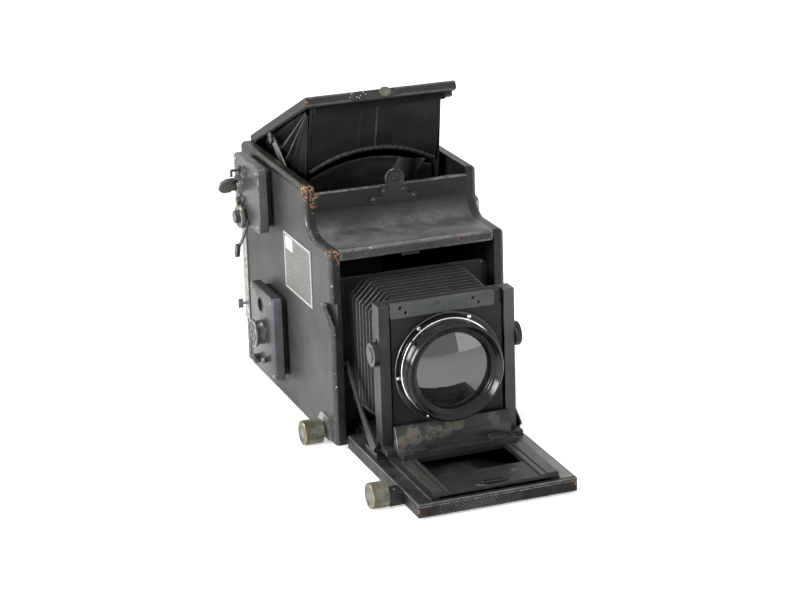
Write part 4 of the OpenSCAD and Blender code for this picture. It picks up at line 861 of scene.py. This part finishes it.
def lens():
    """Flange, bright ring, barrel, iris ring with its pin and numbers, and the front and rear glass."""
    at = P(0, 0, LENS_Z)

    def on_carrier(name, profile, sides, material, *nodes, **more):
        lathe(name, profile, sides, "-Y", at, "carrier", material, *nodes, **more)

    on_carrier("lens_flange", loop(
        (30, 65.5), (49.5, 65.5), (49.5, 67.9), (48.9, 68.5), (44.6, 68.5), (44.4, 68.2), (41, 68.2),
        (30, 68.2)), 128, "barrel", "lens_barrel", edge=0.12, slot="enamel")
    on_carrier("flange_rim", loop(
        (49, 67.6), (49.5, 67.6), (49.5, 68), (49, 68.52), (48.6, 68.52), (48.6, 68.3)),
        128, "dark_nickel")
    on_carrier("bright_ring", loop(
        (41, 69.6), (44.3, 69.6), (44.8, 69.8), (45, 70.3), (44.9, 70.8), (44.4, 71.2), (43.2, 71.3),
        (41, 71.3)), 144, "bright", edge=0.1)
    on_carrier("barrel", loop(
        (25.05, 32), (30, 32), (30, 65.5), (44, 65.5), (44.2, 69.6), (43, 71.9), (40.9, 72.3), (40.9, 80.2),
        (43.2, 80.2), (44.2, 80.8), (44.2, 82), (43.9, 82.3), (43.9, 82.9), (44.2, 83.2), (44.2, 85.4),
        (42.9, 86.9), (42.1, 87), (41.7, 86.8), (38.9, 83.2), (37.9, 82.6), (37.6, 82.9), (37, 82.7),
        (36.6, 82), (35.9, 81.6), (35.5, 81.9), (34.9, 81.6), (34.3, 80.6), (34.3, 76), (22, 76), (22, 36),
        (25.05, 36)),
        144, "barrel", edge=0.12)
    iris = turned("iris_grip", loop(
        (41.2, 73), (43.6, 73), (43.9, 73.3), (43.9, 75), (41.9, 77.3), (41.9, 78.3), (41.2, 78.5)), 240)
    pin = turned("iris_pin", [(0, 2.4), (1.1, 2.2), (1.5, 1.6), (1.5, -2.5), (0, -2.5)], 20)
    a = math.radians(140)
    outward = Vector((math.cos(a), 0, math.sin(a)))
    turn = outward.to_track_quat("Z", "Y").to_matrix().to_4x4()
    pin.data.transform(Matrix.Translation(P(0, -75.7, LENS_Z) + 44.8 * MM * outward) @ turn)
    parts = [smoothed(put(iris, "-Y", at)), smoothed(pin)]
    finished(join("iris_grip", parts), "iris", "barrel", "iris_ring")
    finished(ring_marks(), "iris", "white")
    radii = [GLASS_R * math.sin(math.radians(t)) for t in range(0, 91, 6)]
    dome = [(r, 84.0 - GLASS_CURVE + math.sqrt(GLASS_CURVE ** 2 - r * r)) for r in radii]
    glass = turned("front_glass", dome + [(GLASS_R, 76.5), (0, 76.5)], 96)
    rear = turned("rear_glass", [(0, 31.6), (12, 31.9), (20, 32.8), (25, 34.1), (25, 36), (0, 36)], 64)
    both_ends = join("lens_elements", [put(glass, "-Y", at), put(rear, "-Y", at)])
    finished(smoothed(both_ends, 50), "carrier", "glass", "lens_glass")


# Bellows, hood and the other soft pieces

def quads(rows, n, closed=False):
    """Faces between rows of n points each, going round where closed."""
    return [(i * n + j, i * n + (j + 1) % n, (i + 1) * n + (j + 1) % n, (i + 1) * n + j)
            for i in range(rows - 1) for j in range(n if closed else n - 1)]


def wobble(x, y, z):
    return noise.noise(Vector((x, y, z)))


def ridge(u, at, width):
    """A soft ridge, 1 at its middle."""
    return math.exp(-((u - at) / width) ** 2)


def octagon(w, z0, z1, c):
    """A ring of points round the bellows as (x, z), from its half width, foot, head and corner chamfer."""
    long_n, short_n = 9, 3
    corners = [(w, z0 + c), (w, z1 - c), (w - c, z1), (c - w, z1), (-w, z1 - c), (-w, z0 + c), (c - w, z0),
               (w - c, z0)]
    points = []
    for i, (a, b) in enumerate(zip(corners, corners[1:] + corners[:1])):
        n = short_n if i % 2 else long_n
        points += [(a[0] + (b[0] - a[0]) * k / n, a[1] + (b[1] - a[1]) * k / n) for k in range(n)]
    return points


def bellows():
    """Nine pleats from the frame to the lens board, sagging a little and blending with the track.

    frame_end and board_end are the half width, foot and head at either end.
    Each step of a crest or valley is an offset along the bellows, a depth and how pale the fold is there."""
    pleats, span, rear_y = 9, 66.4, 14.7
    frame_end, board_end = (59.5, 21, 149), (57, 27, 146)
    valley = ((-0.35, 5.0, 0.0), (0.35, 5.0, 0.0))
    crest = ((-0.55, 0.35, 0.3), (-0.25, 0.05, 1.0), (0.25, 0.05, 1.0), (0.55, 0.35, 0.3))
    rings = [(min(max(i * span / pleats / 2 + k, 0.0), span), d, f)
             for i in range(2 * pleats + 1) for k, d, f in (valley if i % 2 else crest)]
    verts, fold = [], []
    for s, d, f in rings:
        t = s / span
        w, foot, head = (a + (b - a) * t for a, b in zip(frame_end, board_end))
        ring = octagon(w - d, foot + d, head - d, 15 + 1.4 * d)
        for x, z in ring:
            y = rear_y - s
            sag = wobble(x * 0.05 + 3, y * 0.11 + 1, z * 0.05 + 7) * 0.8
            k = 1 - max(0.0, sag) * (0.5 if d < 1 else 1.0) / 60
            verts.append(P(x * k, y + sag * 0.5 * (0 < t < 1), LENS_Z + (z - LENS_Z) * k))
            flat_top = abs(x) < w - d - 14 and z > 100
            fold.append(f * (0.72 if flat_top else 1.0 if z > 120 else 0.85))
    obj = from_points("bellows_leather", verts, faces=quads(len(rings), len(ring), True))
    mark_folds(obj, fold)
    tidy_normals(obj, 1e-7)
    modify(obj, "SOLIDIFY", thickness=0.8 * MM, offset=-1.0)
    finished(smoothed(obj, 38), None, "bellows", "bellows")
    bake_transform(obj, "body", "track", start=P(0, 14.0, LENS_Z), end=P(0, -51.0, LENS_Z))


def hood_place(u, w, out=0.0):
    """A place on the hood's front panel: u across, w up along it, out towards the front."""
    y = HOOD_Y - w * math.sin(HOOD_LEAN) - out * math.cos(HOOD_LEAN)
    z = HOOD_Z + w * math.cos(HOOD_LEAN) - out * math.sin(HOOD_LEAN)
    return P(u, y, z)


def arch_height(u, width=HOOD_W, h=ARCH_H):
    """The arch's height at u, for an arch that ends 4 mm inside its width."""
    c = width / 2 - 4
    r = (c * c + h * h) / (2 * h)
    return 0.0 if abs(u) >= c else h - r + math.sqrt(r * r - u * u)


def sheet_of(name, rows, thickness, fold=None):
    """A sheet through rows of points, with its thickness; also its area."""
    n = len(rows[0])
    obj = from_points(name, [p for row in rows for p in row], faces=quads(len(rows), n))
    mark_folds(obj, fold or [0.0] * (n * len(rows)))
    area = sum(p.area for p in obj.data.polygons)
    modify(obj, "SOLIDIFY", thickness=thickness * MM, offset=0.0)
    return smoothed(obj, 50), area


def soft(name, rows, thickness, fold=None, nodes=(), material="hood"):
    """A soft sheet, finished on the body with its own mesh."""
    obj, area = sheet_of(name, rows, thickness, fold)
    finished(obj, "body", material, *nodes)
    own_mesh(obj)


def hood_panel():
    """The flat front panel with two seams and a hem at each side."""
    cols, lines, seam_u, crease_u, top = 220, 30, 1.5, -14.0, HOOD_L - 1.5
    rows, fold = [], []
    for i in range(lines + 1):
        rows.append([])
        for j in range(cols + 1):
            u = (j / cols - 0.5) * HOOD_W
            low = arch_height(u)
            w = low + (top - low) * i / lines
            swell = 0.9 * wobble(u * 0.035, w * 0.05, 2.0) + 0.35 * wobble(u * 0.12, w * 0.03, 5.0)
            seams = ridge(u, seam_u, 0.55) * 0.7 + ridge(u, crease_u, 0.9) * 0.3
            rows[-1].append(hood_place(u, w, swell + seams + ridge(abs(u), 61.0, 0.9) * 0.5))
            pale = 1.2 * ridge(u, seam_u, 0.6) + 0.75 * ridge(u, crease_u, 0.6)
            fold.append(min(1.0, pale + 0.2 * ridge(abs(u), 61.4, 0.6)))
    soft("hood_panel", rows, 1.4, fold, ("hood_front",))


def hood():
    """The viewing hood's leather: panel, rolled arches, skirt, one tuck and the pleated sides."""
    hood_panel()
    hood_roll("hood_roll", 2.3, HOOD_W, ARCH_H, hood_place, 120, 1.0)
    hood_roll("skirt_roll", 1.3, SKIRT_W, SKIRT_ARCH, lambda u, w: P(u, SKIRT_Y, 214 + w), 90, 0.5)
    across = [(j / 60 - 0.5) * SKIRT_W for j in range(61)]
    tops = [34 + arch_height(u, SKIRT_W, SKIRT_ARCH) for u in across]
    rows = [[P(u, SKIRT_Y + 0.8 * wobble(u * 0.05, i * 0.2, 9), 180 + top * i / 24)
             for u, top in zip(across, tops)] for i in range(25)]
    soft("hood_skirt", rows, 1.2)
    rows, fold = [], []
    for i in range(13):
        w = 20 * i / 12
        waves = [math.sin(j * 0.21 + i * 0.16 + 0.6) for j in range(31)]
        rows.append([P(16 + 26 * j / 30 + 0.55 * w, 111.6 + 2.4 * wave, 209 + w * 0.8 - 0.14 * j)
                     for j, wave in enumerate(waves)])
        fold += [0.55 + 0.4 * wave for wave in waves]
    soft("hood_tuck", rows, 0.8, fold)
    for side in (-1, 1):
        hood_gusset(side)


def hood_roll(name, r, width, h, place, n, gather):
    """The rolled and gathered leather edge along an arch, paler on its upper side as a painted highlight."""
    verts, fold, sides = [], [], 14
    c = width / 2 - 1.5
    out = Vector((0, -1, 0))

    def on_arch(u):
        return place(u, arch_height(u, width, h))

    for i in range(n + 1):
        u = c * (2 * i / n - 1)
        wrinkle = wobble(u * 0.62, 1, 2) + 0.5 * wobble(u * 1.3, 4, 2)
        along = (on_arch(min(u + 0.5, c)) - on_arch(max(u - 0.5, -c))).normalized()
        up = out.cross(along).normalized()
        for k in range(sides):
            a = 2 * math.pi * k / sides + 0.4 * gather * wrinkle
            spoke = (out * math.cos(a) + up * math.sin(a)) * r * MM
            verts.append(on_arch(u) + spoke * (1 + gather * 0.28 * wrinkle))
            # Paleness of the roll: the wrinkles give rubbed folds, the sine term a painted highlight on its
            # upper side.
            fold.append(max(0.0, min(1.0, 0.74 + gather * 0.35 * wrinkle + 0.2 * math.sin(a))))
    ends = [tuple(range(sides)), tuple(range(n * sides, (n + 1) * sides))]
    obj = from_points(name, verts, faces=quads(n + 1, sides, True) + ends)
    mark_folds(obj, fold)
    finished(smoothed(tidy_normals(obj, 1e-7), 60), "body", "hood")
    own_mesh(obj)


def hood_gusset(side):
    """Side leather of the hood: pleats that fan out from the panel's upper corner to a border."""
    apex = Vector((97.5, 283))
    border = [Vector(p) for p in ((115.5, 181), (170, 181), (224.5, 181), (224.5, 205),
                                  lid_point(222, 214.5))]
    lengths = [(b - a).length for a, b in zip(border, border[1:])]

    def along(s):
        d = s * sum(lengths)
        for a, b, length in zip(border, border[1:], lengths):
            if d <= length:
                return a + (b - a) * (d / length)
            d -= length
        return border[-1]

    pleats, across, down = 5, 90, 22
    rows, fold = [], []
    for i in range(down + 1):
        t = 0.06 + 0.94 * i / down
        rows.append([])
        for j in range(across + 1):
            s = j / across
            p = apex + (along(s) - apex) * t
            wave = abs(s * pleats % 1 * 2 - 1)
            x = 62.4 + 3.2 * (wave - 0.5) * 2 * min(1.0, 0.3 + t) * (0.55 if s in (0, 1) else 1.0)
            rows[-1].append(P(side * (x + 0.5 * wobble(s * 9, t * 4, side)), p.x, p.y))
            seen = min(1.0, max(0.12, (s - 0.25) * 4)) * min(1.0, max(0.1, 2.2 - 2.6 * t))
            fold.append(max(0.0, 1.15 - 4.5 * (1 - wave)) * seen)
    name, nodes = ("hood_gusset_left", ("hood_sides",)) if side < 0 else ("hood_gusset_right", ())
    soft(name, rows, 0.8, fold, nodes, "gusset")


def curtain():
    """The focal-plane curtain: two sheets and the narrow edges beside the slit between them."""
    w, y, low, high = 66.0, 232.4, (13, 66), (78, 190)
    parts = []
    for k, (a, b) in enumerate((low, high)):
        rows = [[P((j / 20 - 1) * w, y + 0.1 * math.sin(j * 0.5) * math.sin(i * 0.4), a + (b - a) * i / 30)
                 for j in range(41)] for i in range(31)]
        parts.append(sheet_of(f"curtain_{k}", rows, 0.5)[0])
    for s in (-1, 1):
        rows = [[P(s * (58 + 8 * j / 6), y, low[1] + 12 * i / 6) for j in range(7)] for i in range(7)]
        parts.append(sheet_of("curtain_edge", rows, 0.5)[0])
    obj = finished(join("curtain_cloth", parts), "body", "cloth", "curtain")


def strap():
    """Carrying handle: a strap on a smooth curve through the path's points, between two plates."""
    path = ((84.5, 71), (90, 80), (95, 96), (97.5, 125), (95, 154), (90, 170), (84.5, 179))
    path = [Vector(p) for p in path]
    crown = [0.0, 0.55, 0.9, 1.0, 0.9, 0.55, 0.0]
    n, last = 48, len(path) - 1
    rows = []
    for i in range(n + 1):
        t = i / n * last
        k = min(int(t), last - 1)
        f = t - k
        a, b, c, d = path[max(k - 1, 0)], path[k], path[k + 1], path[min(k + 2, last)]
        bend = (2 * a - 5 * b + 4 * c - d) * f * f + (3 * b - a - 3 * c + d) * f ** 3
        at = 0.5 * (2 * b + (c - a) * f + bend)
        wide = 8.2 - 1.4 * math.cos(math.pi * (i / n - 0.5))
        arch = 0.7 * math.sin(math.pi * i / n)
        rows.append([P(at.x + arch * crown[j], at.y, 177 + wide * (j / 3 - 1)) for j in range(7)])
    body = modify(sheet_of("handle_strap", rows, 2.0)[0], "SUBSURF", levels=1, render_levels=1)
    finished(smoothed(body, 50), "body", "strap", "carry_handle")
    plates = []
    for y in (65.2, 175.2):
        plates.append(rounded(slab("handle_plate", (82.5, 83.6), (y, y + 7.1), (165.2, 188.8)), 0.4))
        plates.append(rounded(slab("handle_loop", (83.4, 87.2), (y + 2.4, y + 4.6), (167.2, 186.8)), 0.8))
    finished(join("handle_plates", plates), "body", "nickel")


def hinge_leather():
    """Leather that closes the slot between the lid's rear edge and the case."""
    rows = [[P(k * 7 - 70, 244.1, 203 + 16.4 * i / 4) for k in range(21)] for i in range(5)]
    soft("hinge_leather", rows, 0.8)


# Turned grips

def knob(name, length, at, body, node):
    """A coin-edged knob with a dished face; at is the outer face's middle."""
    ribs, r = 44, KNOB_R
    obj = turned(name, [
        (0, 0.2), (r * 0.46, 0.2), (r * 0.52, -0.2), (r * 0.6, -0.3), (r * 0.72, 0.6), (r * 0.78, 0.9),
        (r * 0.9, 0.7), (r * 0.985, -0.2), (r, -0.9), (r, -length + 0.9), (r * 0.985, -length + 0.2),
        (r * 0.93, -length), (0, -length)], 2 * ribs)
    knurl(obj, r * 0.97, ribs, 0.55, -length + 0.5, -0.5)
    two_slots(obj)
    for face in obj.data.polygons:
        in_face = math.hypot(face.center.x, face.center.y) < 0.86 * r * MM
        face.material_index = int(face.center.z > -1.2 * MM and in_face)
    finished(smoothed(put(obj, "-X", at), 30), body, "olive", node)


def pinion():
    """A small gear about +Z, its teeth drawn in as a wave."""
    teeth, r = 9, 3.9
    gear = turned("pinion", [(0, -3), (r, -3), (r, 3), (0, 3)], 36)
    for v in gear.data.vertices:
        if math.hypot(v.co.x, v.co.y) > 3 * MM:
            f = (3.35 + 0.55 * math.cos(teeth * math.atan2(v.co.y, v.co.x))) / r
            v.co.x, v.co.y = v.co.x * f, v.co.y * f
    return gear


def grips():
    """The focusing knobs with their necks and pale rims, and their shafts with two pinions each."""
    for name, y, face_x, length, neck_x, neck in (
            ("body", 28, -104, 17.0, -87, [(11, 0), (8, -0.2), (7, -0.8), (7, -2.6), (0, -2.6)]),
            ("bed", -133.5, -99.45, 14.4, -85, [(7, 0.1), (7, -0.5), (0, -0.5)])):
        body, face = name + "_pinion", P(face_x, y, SPINDLE_Z)
        knob(name + "_knob", length, face, body, name + "_focus")
        lathe(name + "_knob_neck", neck, 48, "-X", P(neck_x, y, SPINDLE_Z), body, "olive", edge=0.1)
        rim = loop((10.5, 0.5), (10.7, 0.75), (11, 0.6), (11.1, 0), (11.1, -0.5), (10.5, -0.5))
        lathe(name + "_knob_rim", rim, 72, "-X", face, body, "brass")
        parts = [smoothed(turned(name + "_pinion_shaft", [(2, -84), (2, 61), (0, 61), (0, -84)], 24))]
        for z in (-46.5, 46.5):
            gear = pinion()
            gear.data.transform(Matrix.Translation((0, 0, z * MM)))
            parts.append(smoothed(gear, 30))
        shaft = put(join(name + "_pinion_shaft", parts), "+X", P(0, y, SPINDLE_Z))
        finished(shaft, body, "olive")


def disc(r, low, high, axis, at, sides):
    return put(turned("disc", [(0, high), (r, high), (r, low), (0, low)], sides), axis, at)


def catch_plate():
    """Screwed plate of the lid catch: four ears, a body and a tab, with the catch's disc in front."""
    y = (61.5, 63)
    plate = slab("catch_plate_cover", (-10, 14), y, (200.5, 210))
    combine(plate, slab("plate_foot", (-17, 21), y, (199.4, 205.5)), "UNION")
    combine(plate, round_corners(slab("plate_tab", (-3.5, 7.5), y, (205, 225.3)), 1, 4), "UNION")
    for s in (-1, 1):
        for x, z in ((19, 202.95), (9, 210.2)):
            combine(plate, disc(4.1, 0, 1.5, "-Y", P(CATCH[0] + s * x, 63, z), 32), "UNION")
    finished(rounded(plate, 0.3), "body", "enamel", "catch_plate")
    face = turned("catch_disc", [(0, 2.9), (5, 3), (6.6, 3.1), (7, 3.5), (8.2, 3.7), (8.9, 3.3), (9, 2.6),
                                 (9, 0.1), (0, 0.1)], 72)
    hub = turned("catch_hub", [(0, 4.15), (2.1, 4), (2.5, 3.6), (2.5, 2.8), (0, 2.8)], 32)
    obj = smoothed(put(join("catch_disc", [face, hub]), "-Y", P(*CATCH)))
    finished(obj, "catch", "enamel", "lid_catch")
    lathe("catch_rim", loop((8.3, 3.5), (8.7, 3.75), (9.05, 3.3), (9.05, 2.6), (8.3, 3)), 72, "-Y", P(*CATCH),
          "catch", "dark_nickel")


def housing(name, node, y, z, window=None):
    """Metal housing on the winding side: a deep cover with a bevelled rim on a seat set well back from it."""
    cover = rounded(round_corners(slab(name, (-FACE_X, -FACE_X + COVER_D), y, z), 0, 7), 1.3, 3)
    x = (-FACE_X + COVER_D - 0.2, -SIDE_X)
    seat = slab(name + "_body", x, (y[0] + 10, y[1] - 2), (z[0] + 3, z[1] - 4.5))
    seat = rounded(round_corners(seat, 0, 6), 0.4)
    parts = [cover]
    if window:
        for part in (cover, seat):
            combine(part, disc(6.5, -20, 20, "-X", P(-FACE_X + 4, *window), 48))
        lip = loop((6.4, 0.4), (6.9, 0.55), (7.6, 0.4), (7.9, 0), (7.9, -0.5), (6.4, -0.5))
        parts.append(smoothed(put(turned("window_lip", lip, 64), "-X", P(-FACE_X, *window))))
    smoothed(cover)
    cover = finished(join(name, parts), "body", "housing", node)
    # The cover's front-facing faces take the lighter enamel: painted light.
    side_y = P(0, y[0] + 8, 0).y
    paint(cover, "housing_front_painted_light", lambda f: f.normal.y < -0.5 and f.center.y < side_y and not f.material_index)
    finished(smoothed(seat), "body", "housing")


def side_fittings():
    """Collars and the dial's rim on the upper housing, tension knob and fixed stud on the lower one."""
    for name, profile, sides, at, body, material in (
            ("winding_collar", loop((5.6, 3.6), (6.6, 3.4), (7.2, 2.6), (8.8, 2.2), (9.4, 1.2), (10.6, 0.8),
                                    (11, 0), (5.6, 0)), 64, (-FACE_X, 212, 190), "body", "dark_nickel"),
            ("idler_collar", loop((3.7, 1.4), (5.2, 1.2), (5.8, 0.4), (6, 0), (3.7, 0)), 48,
             (-FACE_X, 205, 176.5), "body", "dark_nickel"),
            ("release_dome", [(0, 3.2), (2.2, 2.9), (4.2, 1.9), (5.4, 0.6), (5.6, 0), (0, 0)], 48,
             (-FACE_X, 190, 208), "body", "housing"),
            ("tension_rim", loop((11.7, 9), (12.2, 9.25), (12.8, 9), (13.05, 8.4), (12.6, 8.4), (11.7, 8.8)),
             96, (-97.8, 160, 60), "tension", "nickel"),
            ("fixed_stud", [(0, 6.4), (1.4, 6.2), (2.8, 5.4), (3.5, 4), (3.6, 2.8), (2.6, 1.6), (2.4, 0.6),
                            (3.2, 0), (0, 0)], 40, (-FACE_X, 146, 37), "body", "dark_nickel")):
        lathe(name, profile, sides, "-X", P(*at), body, material)
    rim = turned("dial_rim", loop((9.6, 0), (11, 0), (11.2, 0.3), (11.2, 3.8), (10.6, 4.3), (9.8, 4.3)), 88)
    knurl(rim, 10.9, 44, 0.4)
    finished(smoothed(put(rim, "-X", P(-99.4, 198, 163))), "dial", "nickel")
    grip = turned("tension_knob_body", [
        (0, 8.2), (3.5, 8.2), (4.2, 8.8), (7.6, 8.8), (8.2, 8.2), (10.4, 8.2), (11.6, 9), (12.5, 8.9),
        (13, 8.2), (13, 6.2), (12.4, 5.8), (11.2, 5.5), (11.2, 1.2), (11.8, 0), (0, 0)], 96)
    knurl(grip, 12.7, 48, 0.45)
    grip = smoothed(put(grip, "-X", P(-97.8, 160, 60)))
    finished(grip, "tension", "dark_nickel", "tension_knob")


def clip_bar():
    """Metal strip that holds the lens board's head, with two pairs of rimmed holes."""
    bar = round_corners(slab("clip_bar", (-51.8, 44), (-67.3, -61.9), (134.7, 147.3)), 1, 1.6, 3)
    rim = loop((1.5, 0.1), (1.7, 0.35), (2.2, 0.3), (2.4, 0), (2.4, -0.3), (1.5, -0.3))
    seat = turned("hole_rim", rim, 28)
    rims = []
    for x, z in CLIP_HOLES:
        at = P(x, -67.3, z)
        combine(bar, disc(1.5, -4, 2, "-Y", at, 24))
        rims.append(copy_of(seat, "hole_rims", Matrix.Translation(at) @ AXES["-Y"]))
    bpy.data.objects.remove(seat)
    finished(rounded(bar, 0.5), "carrier", "clip")
    finished(smoothed(join("hole_rims", rims)), "carrier", "dark_nickel")


def bed_details():
    """Ribs of the rails, edge and lines of the bed, the focusing scale and the finger slot's ring."""
    ribs, lines = [], []
    for s in (-1, 1):
        for a, b, z in ((42.0, 45.4, 15.1), (47.0, 56.4, 15.6)):
            ribs.append(rounded(slab("rail_rib", sorted((s * a, s * b)), (-169.2, -94), (14.7, z)), 0.45))
        for a, b, y, z, r in ((71.9, 70.6, -175, 9.25, 0.25), (58.2, 57.8, -169.5, 9.3, 0.12)):
            lines.append(rounded(slab("bed_line", sorted((s * a, s * b)), (y, -12), (8.4, z)), r))
    finished(join("rail_ribs", ribs), "track", "rib")
    edge = rounded(slab("bed_edges", (-71.9, 71.9), (-175.6, -170.3), (6.2, 9.4)), 0.8)
    finished(edge, "body", "rail")
    lines.append(rounded(slab("bed_line", (-71.9, 71.9), (-175.75, -174.9), (8.8, 9.5)), 0.2))
    finished(join("bed_lines", lines), "body", "line")
    plate = round_corners(slab("focusing_scale", (58.6, 70), (-171.8, -60.4), (9, 9.8)), 2, 2.5)
    finished(rounded(plate, 0.25), "body", "scale")
    ring = loop((9.3, 0), (10.2, 0.7), (11.4, 0.6), (12.2, 0), (12.2, -0.4), (9.3, -0.4))
    ring = turned("finger_ring", ring, 72)
    ring.data.transform(Matrix.Diagonal((1.42, 0.62, 1, 1)))
    finished(smoothed(put(ring, "+Z", P(0, -163.7, 14.0))), BODY_OF["track_catch"], "rail")


def slope_crossbar(obj):
    """Leans the crossbar's upper half back like bent sheet metal, and paints it and the uprights' fronts, the
    left front darker as painted shade and the right one lighter as painted light.
    """
    half_w, rear_y, front_y, bend_z, top_z, set_back = 52, -68.5, -73, 28.2, 39, 6
    with editing(obj.data) as bm:
        middles = [(f, f.calc_center_median()) for f in bm.faces]
        bar = [f for f, at in middles if abs(at.x) < half_w * MM and at.y < P(0, rear_y, 0).y]
        geom = set(bar) | {e for f in bar for e in f.edges} | {v for f in bar for v in f.verts}
        bmesh.ops.bisect_plane(bm, geom=list(geom), plane_co=P(0, 0, 28), plane_no=(0, 0, 1))
        for v in bm.verts:
            over = (v.co.z / MM - bend_z) / 10.3
            if v.co.y < P(0, front_y, 0).y and over > 0 and v.co.z < top_z * MM:
                v.co.y += set_back * MM * over
    obj.data.update()

    def upright(face, side):
        front = face.center.z > 20 * MM and face.normal.y < -0.9 and not face.material_index
        return front and face.center.x * side > half_w * MM

    def sloped(face):
        at = face.center / MM
        return abs(at.x) < half_w and at.y + SOCKET_Y < rear_y and bend_z + 0.2 < at.z < top_z

    # Painted shade and light: the left upright's front takes the darker bar finish, the right one's front the
    # lighter clip finish.
    paint(obj, "bar", lambda f: upright(f, -1) or sloped(f))
    paint(obj, "clip", lambda f: upright(f, 1))


def lid_latch():
    """Flat oval latch and rivets on the lid's front edge; closed, it passes behind the catch's plate."""
    lean = Matrix.Rotation(-LID_OPEN, 4, "X")

    def on_edge(obj, x, up):
        obj.data.transform(Matrix.Translation(P(x, *lid_point(64.0, 220.6 + up))) @ lean @ AXES["-Y"])
        return obj

    oval = turned("latch_oval", [
        (0, 2), (2.2, 1.9), (3, 1.3), (4.4, 1), (4.9, 0.3), (4.9, -0.2), (0, -0.2)], 48)
    oval.data.transform(Matrix.Diagonal((1.15, 0.85, 1, 1)))
    head = screw_head("latch_screw", 2.3, 1.6, 0.6)
    head.data.transform(Matrix.Translation((0, 0, 1.1 * MM)))
    for part in (oval, head):
        part.data.transform(Matrix.Translation((0, 0, 0.62 * MM)) @ Matrix.Diagonal((1, 1, EDGE_FLAT, 1)))
    parts = [on_edge(smoothed(oval), 3.5, 1.2), on_edge(head, 3.5, 1.2)]
    finished(join("lid_latch", parts), "lid", "olive")
    dot = turned("rivet", [(0, 0.5), (0.4, 0.36), (0.55, 0), (0.55, -0.2), (0, -0.2)], 12)
    dots = [on_edge(copy_of(dot, "lid_rivets", Matrix.Translation((0, 0, 0.8 * MM))), x, up) for x, up in (
        (-28, 2.2), (-23.5, -1.2), (-20, -0.4), (-26.6, 3), (-17, 2.4), (-21.5, -2.2), (-30, -0.8),
        (-15, 0.4))]
    bpy.data.objects.remove(dot)
    finished(smoothed(join("lid_rivets", dots)), "lid", "bright")


def lips():
    """Dark rounded lip under the lid's front edge, black as a painted shadow under that edge, and the leather
    lip along the roof's front edge.
    """
    # The lid's lip is a real lip, finished black as a painted shadow under the lid's front edge.
    lip = rounded(slab("lid_lip", (-62.2, 62.2), (69.9, 72.9), (210, 216)), 0.8)
    hinge = P(0, *HINGE)
    opened = Matrix.Translation(hinge) @ Matrix.Rotation(-LID_OPEN, 4, "X") @ Matrix.Translation(-hinge)
    lip.data.transform(opened)
    finished(lip, "lid", "inside", slot="hood_leather")
    lip = rounded(slab("roof_lip", (-72.3, 72.3), (-0.5, 6.5), (169.9, 180.2)), 2.4, 3)
    finished(lip, "body", "front")


lens()
bellows()
hood()
curtain()
strap()
grips()
screws()
catch_plate()
housing("upper_cover", "upper_housing", (150, 224), (156.6, 219.6))
housing("lower_cover", "lower_housing", (122, 191), (20, 103), (160, 87))
side_fittings()
clip_bar()
bed_details()
lid_latch()
lips()
hinge_leather()
dress_wall("side_left", 1)
dress_wall("side_right", -1)
dress_roof()
slope_crossbar(dress("standard", "stand", 0.6))

# Nodes that are dressed in their own shape: finish, rounding in millimetres and nodes
DRESSED = [
    ("case", 0.4, "floor_board"), ("front", 0.9, "back_plate"), ("front", 0.4, "rear_panel"),
    ("inside", 0.3, "well_floor well_rear floor_guides"), ("wood", 0.8, "bellows_frame plate_holder"),
    ("wood", 0.5, "lens_carrier lens_board"), ("bare_wood", 0.2, "roller_top roller_low"),
    ("enamel", 0.2, "well_fittings dark_slide"), ("enamel", 0.4, "turning_back"),
    ("enamel", 0.3, "mirror_frame bed_catch track_catch"), ("enamel", 0.5, "rise_clamp_right"),
    ("worn_plate", 0.15, "lid_fittings"), ("nickel", 0.3, "lid_hinge stay_left stay_right"),
    ("nickel", 0.2, "side_fittings back_screw"), ("dark_nickel", 0.5, "winding_key tension_release"),
    ("dark_nickel", 0.3, "aperture_dial"), ("dark_nickel", 0.2, "mirror_lever release_hook"),
    ("rail", 0.4, "bed_fittings"), ("rail", 0.3, "track_frame"), ("brass", 0.5, "case_feet"),
    ("brass", 0.3, "tripod_bush"), ("olive", 0.15, "idler_gear"), ("paper", 0.1, "speed_plate"),
    ("ground", 0.2, "screen_glass"), ("mirror", 0.3, "mirror_glass"),
]
for material, width, nodes in DRESSED:
    for node in nodes.split():
        dress(node, material, width)


def long_edge(a, b):
    return (a - b).length > 50 * MM


dress("bed_board", "bed", 1.1, 3, long_edge)
paint(dress("lid_board", "lid", 2.0, 3, long_edge), "wall", lambda f: f.normal.x < -0.6)
paint(dress("rise_clamp_left", "clamp", 0.5), "enamel", lambda f: f.normal.x > -0.8)

only()
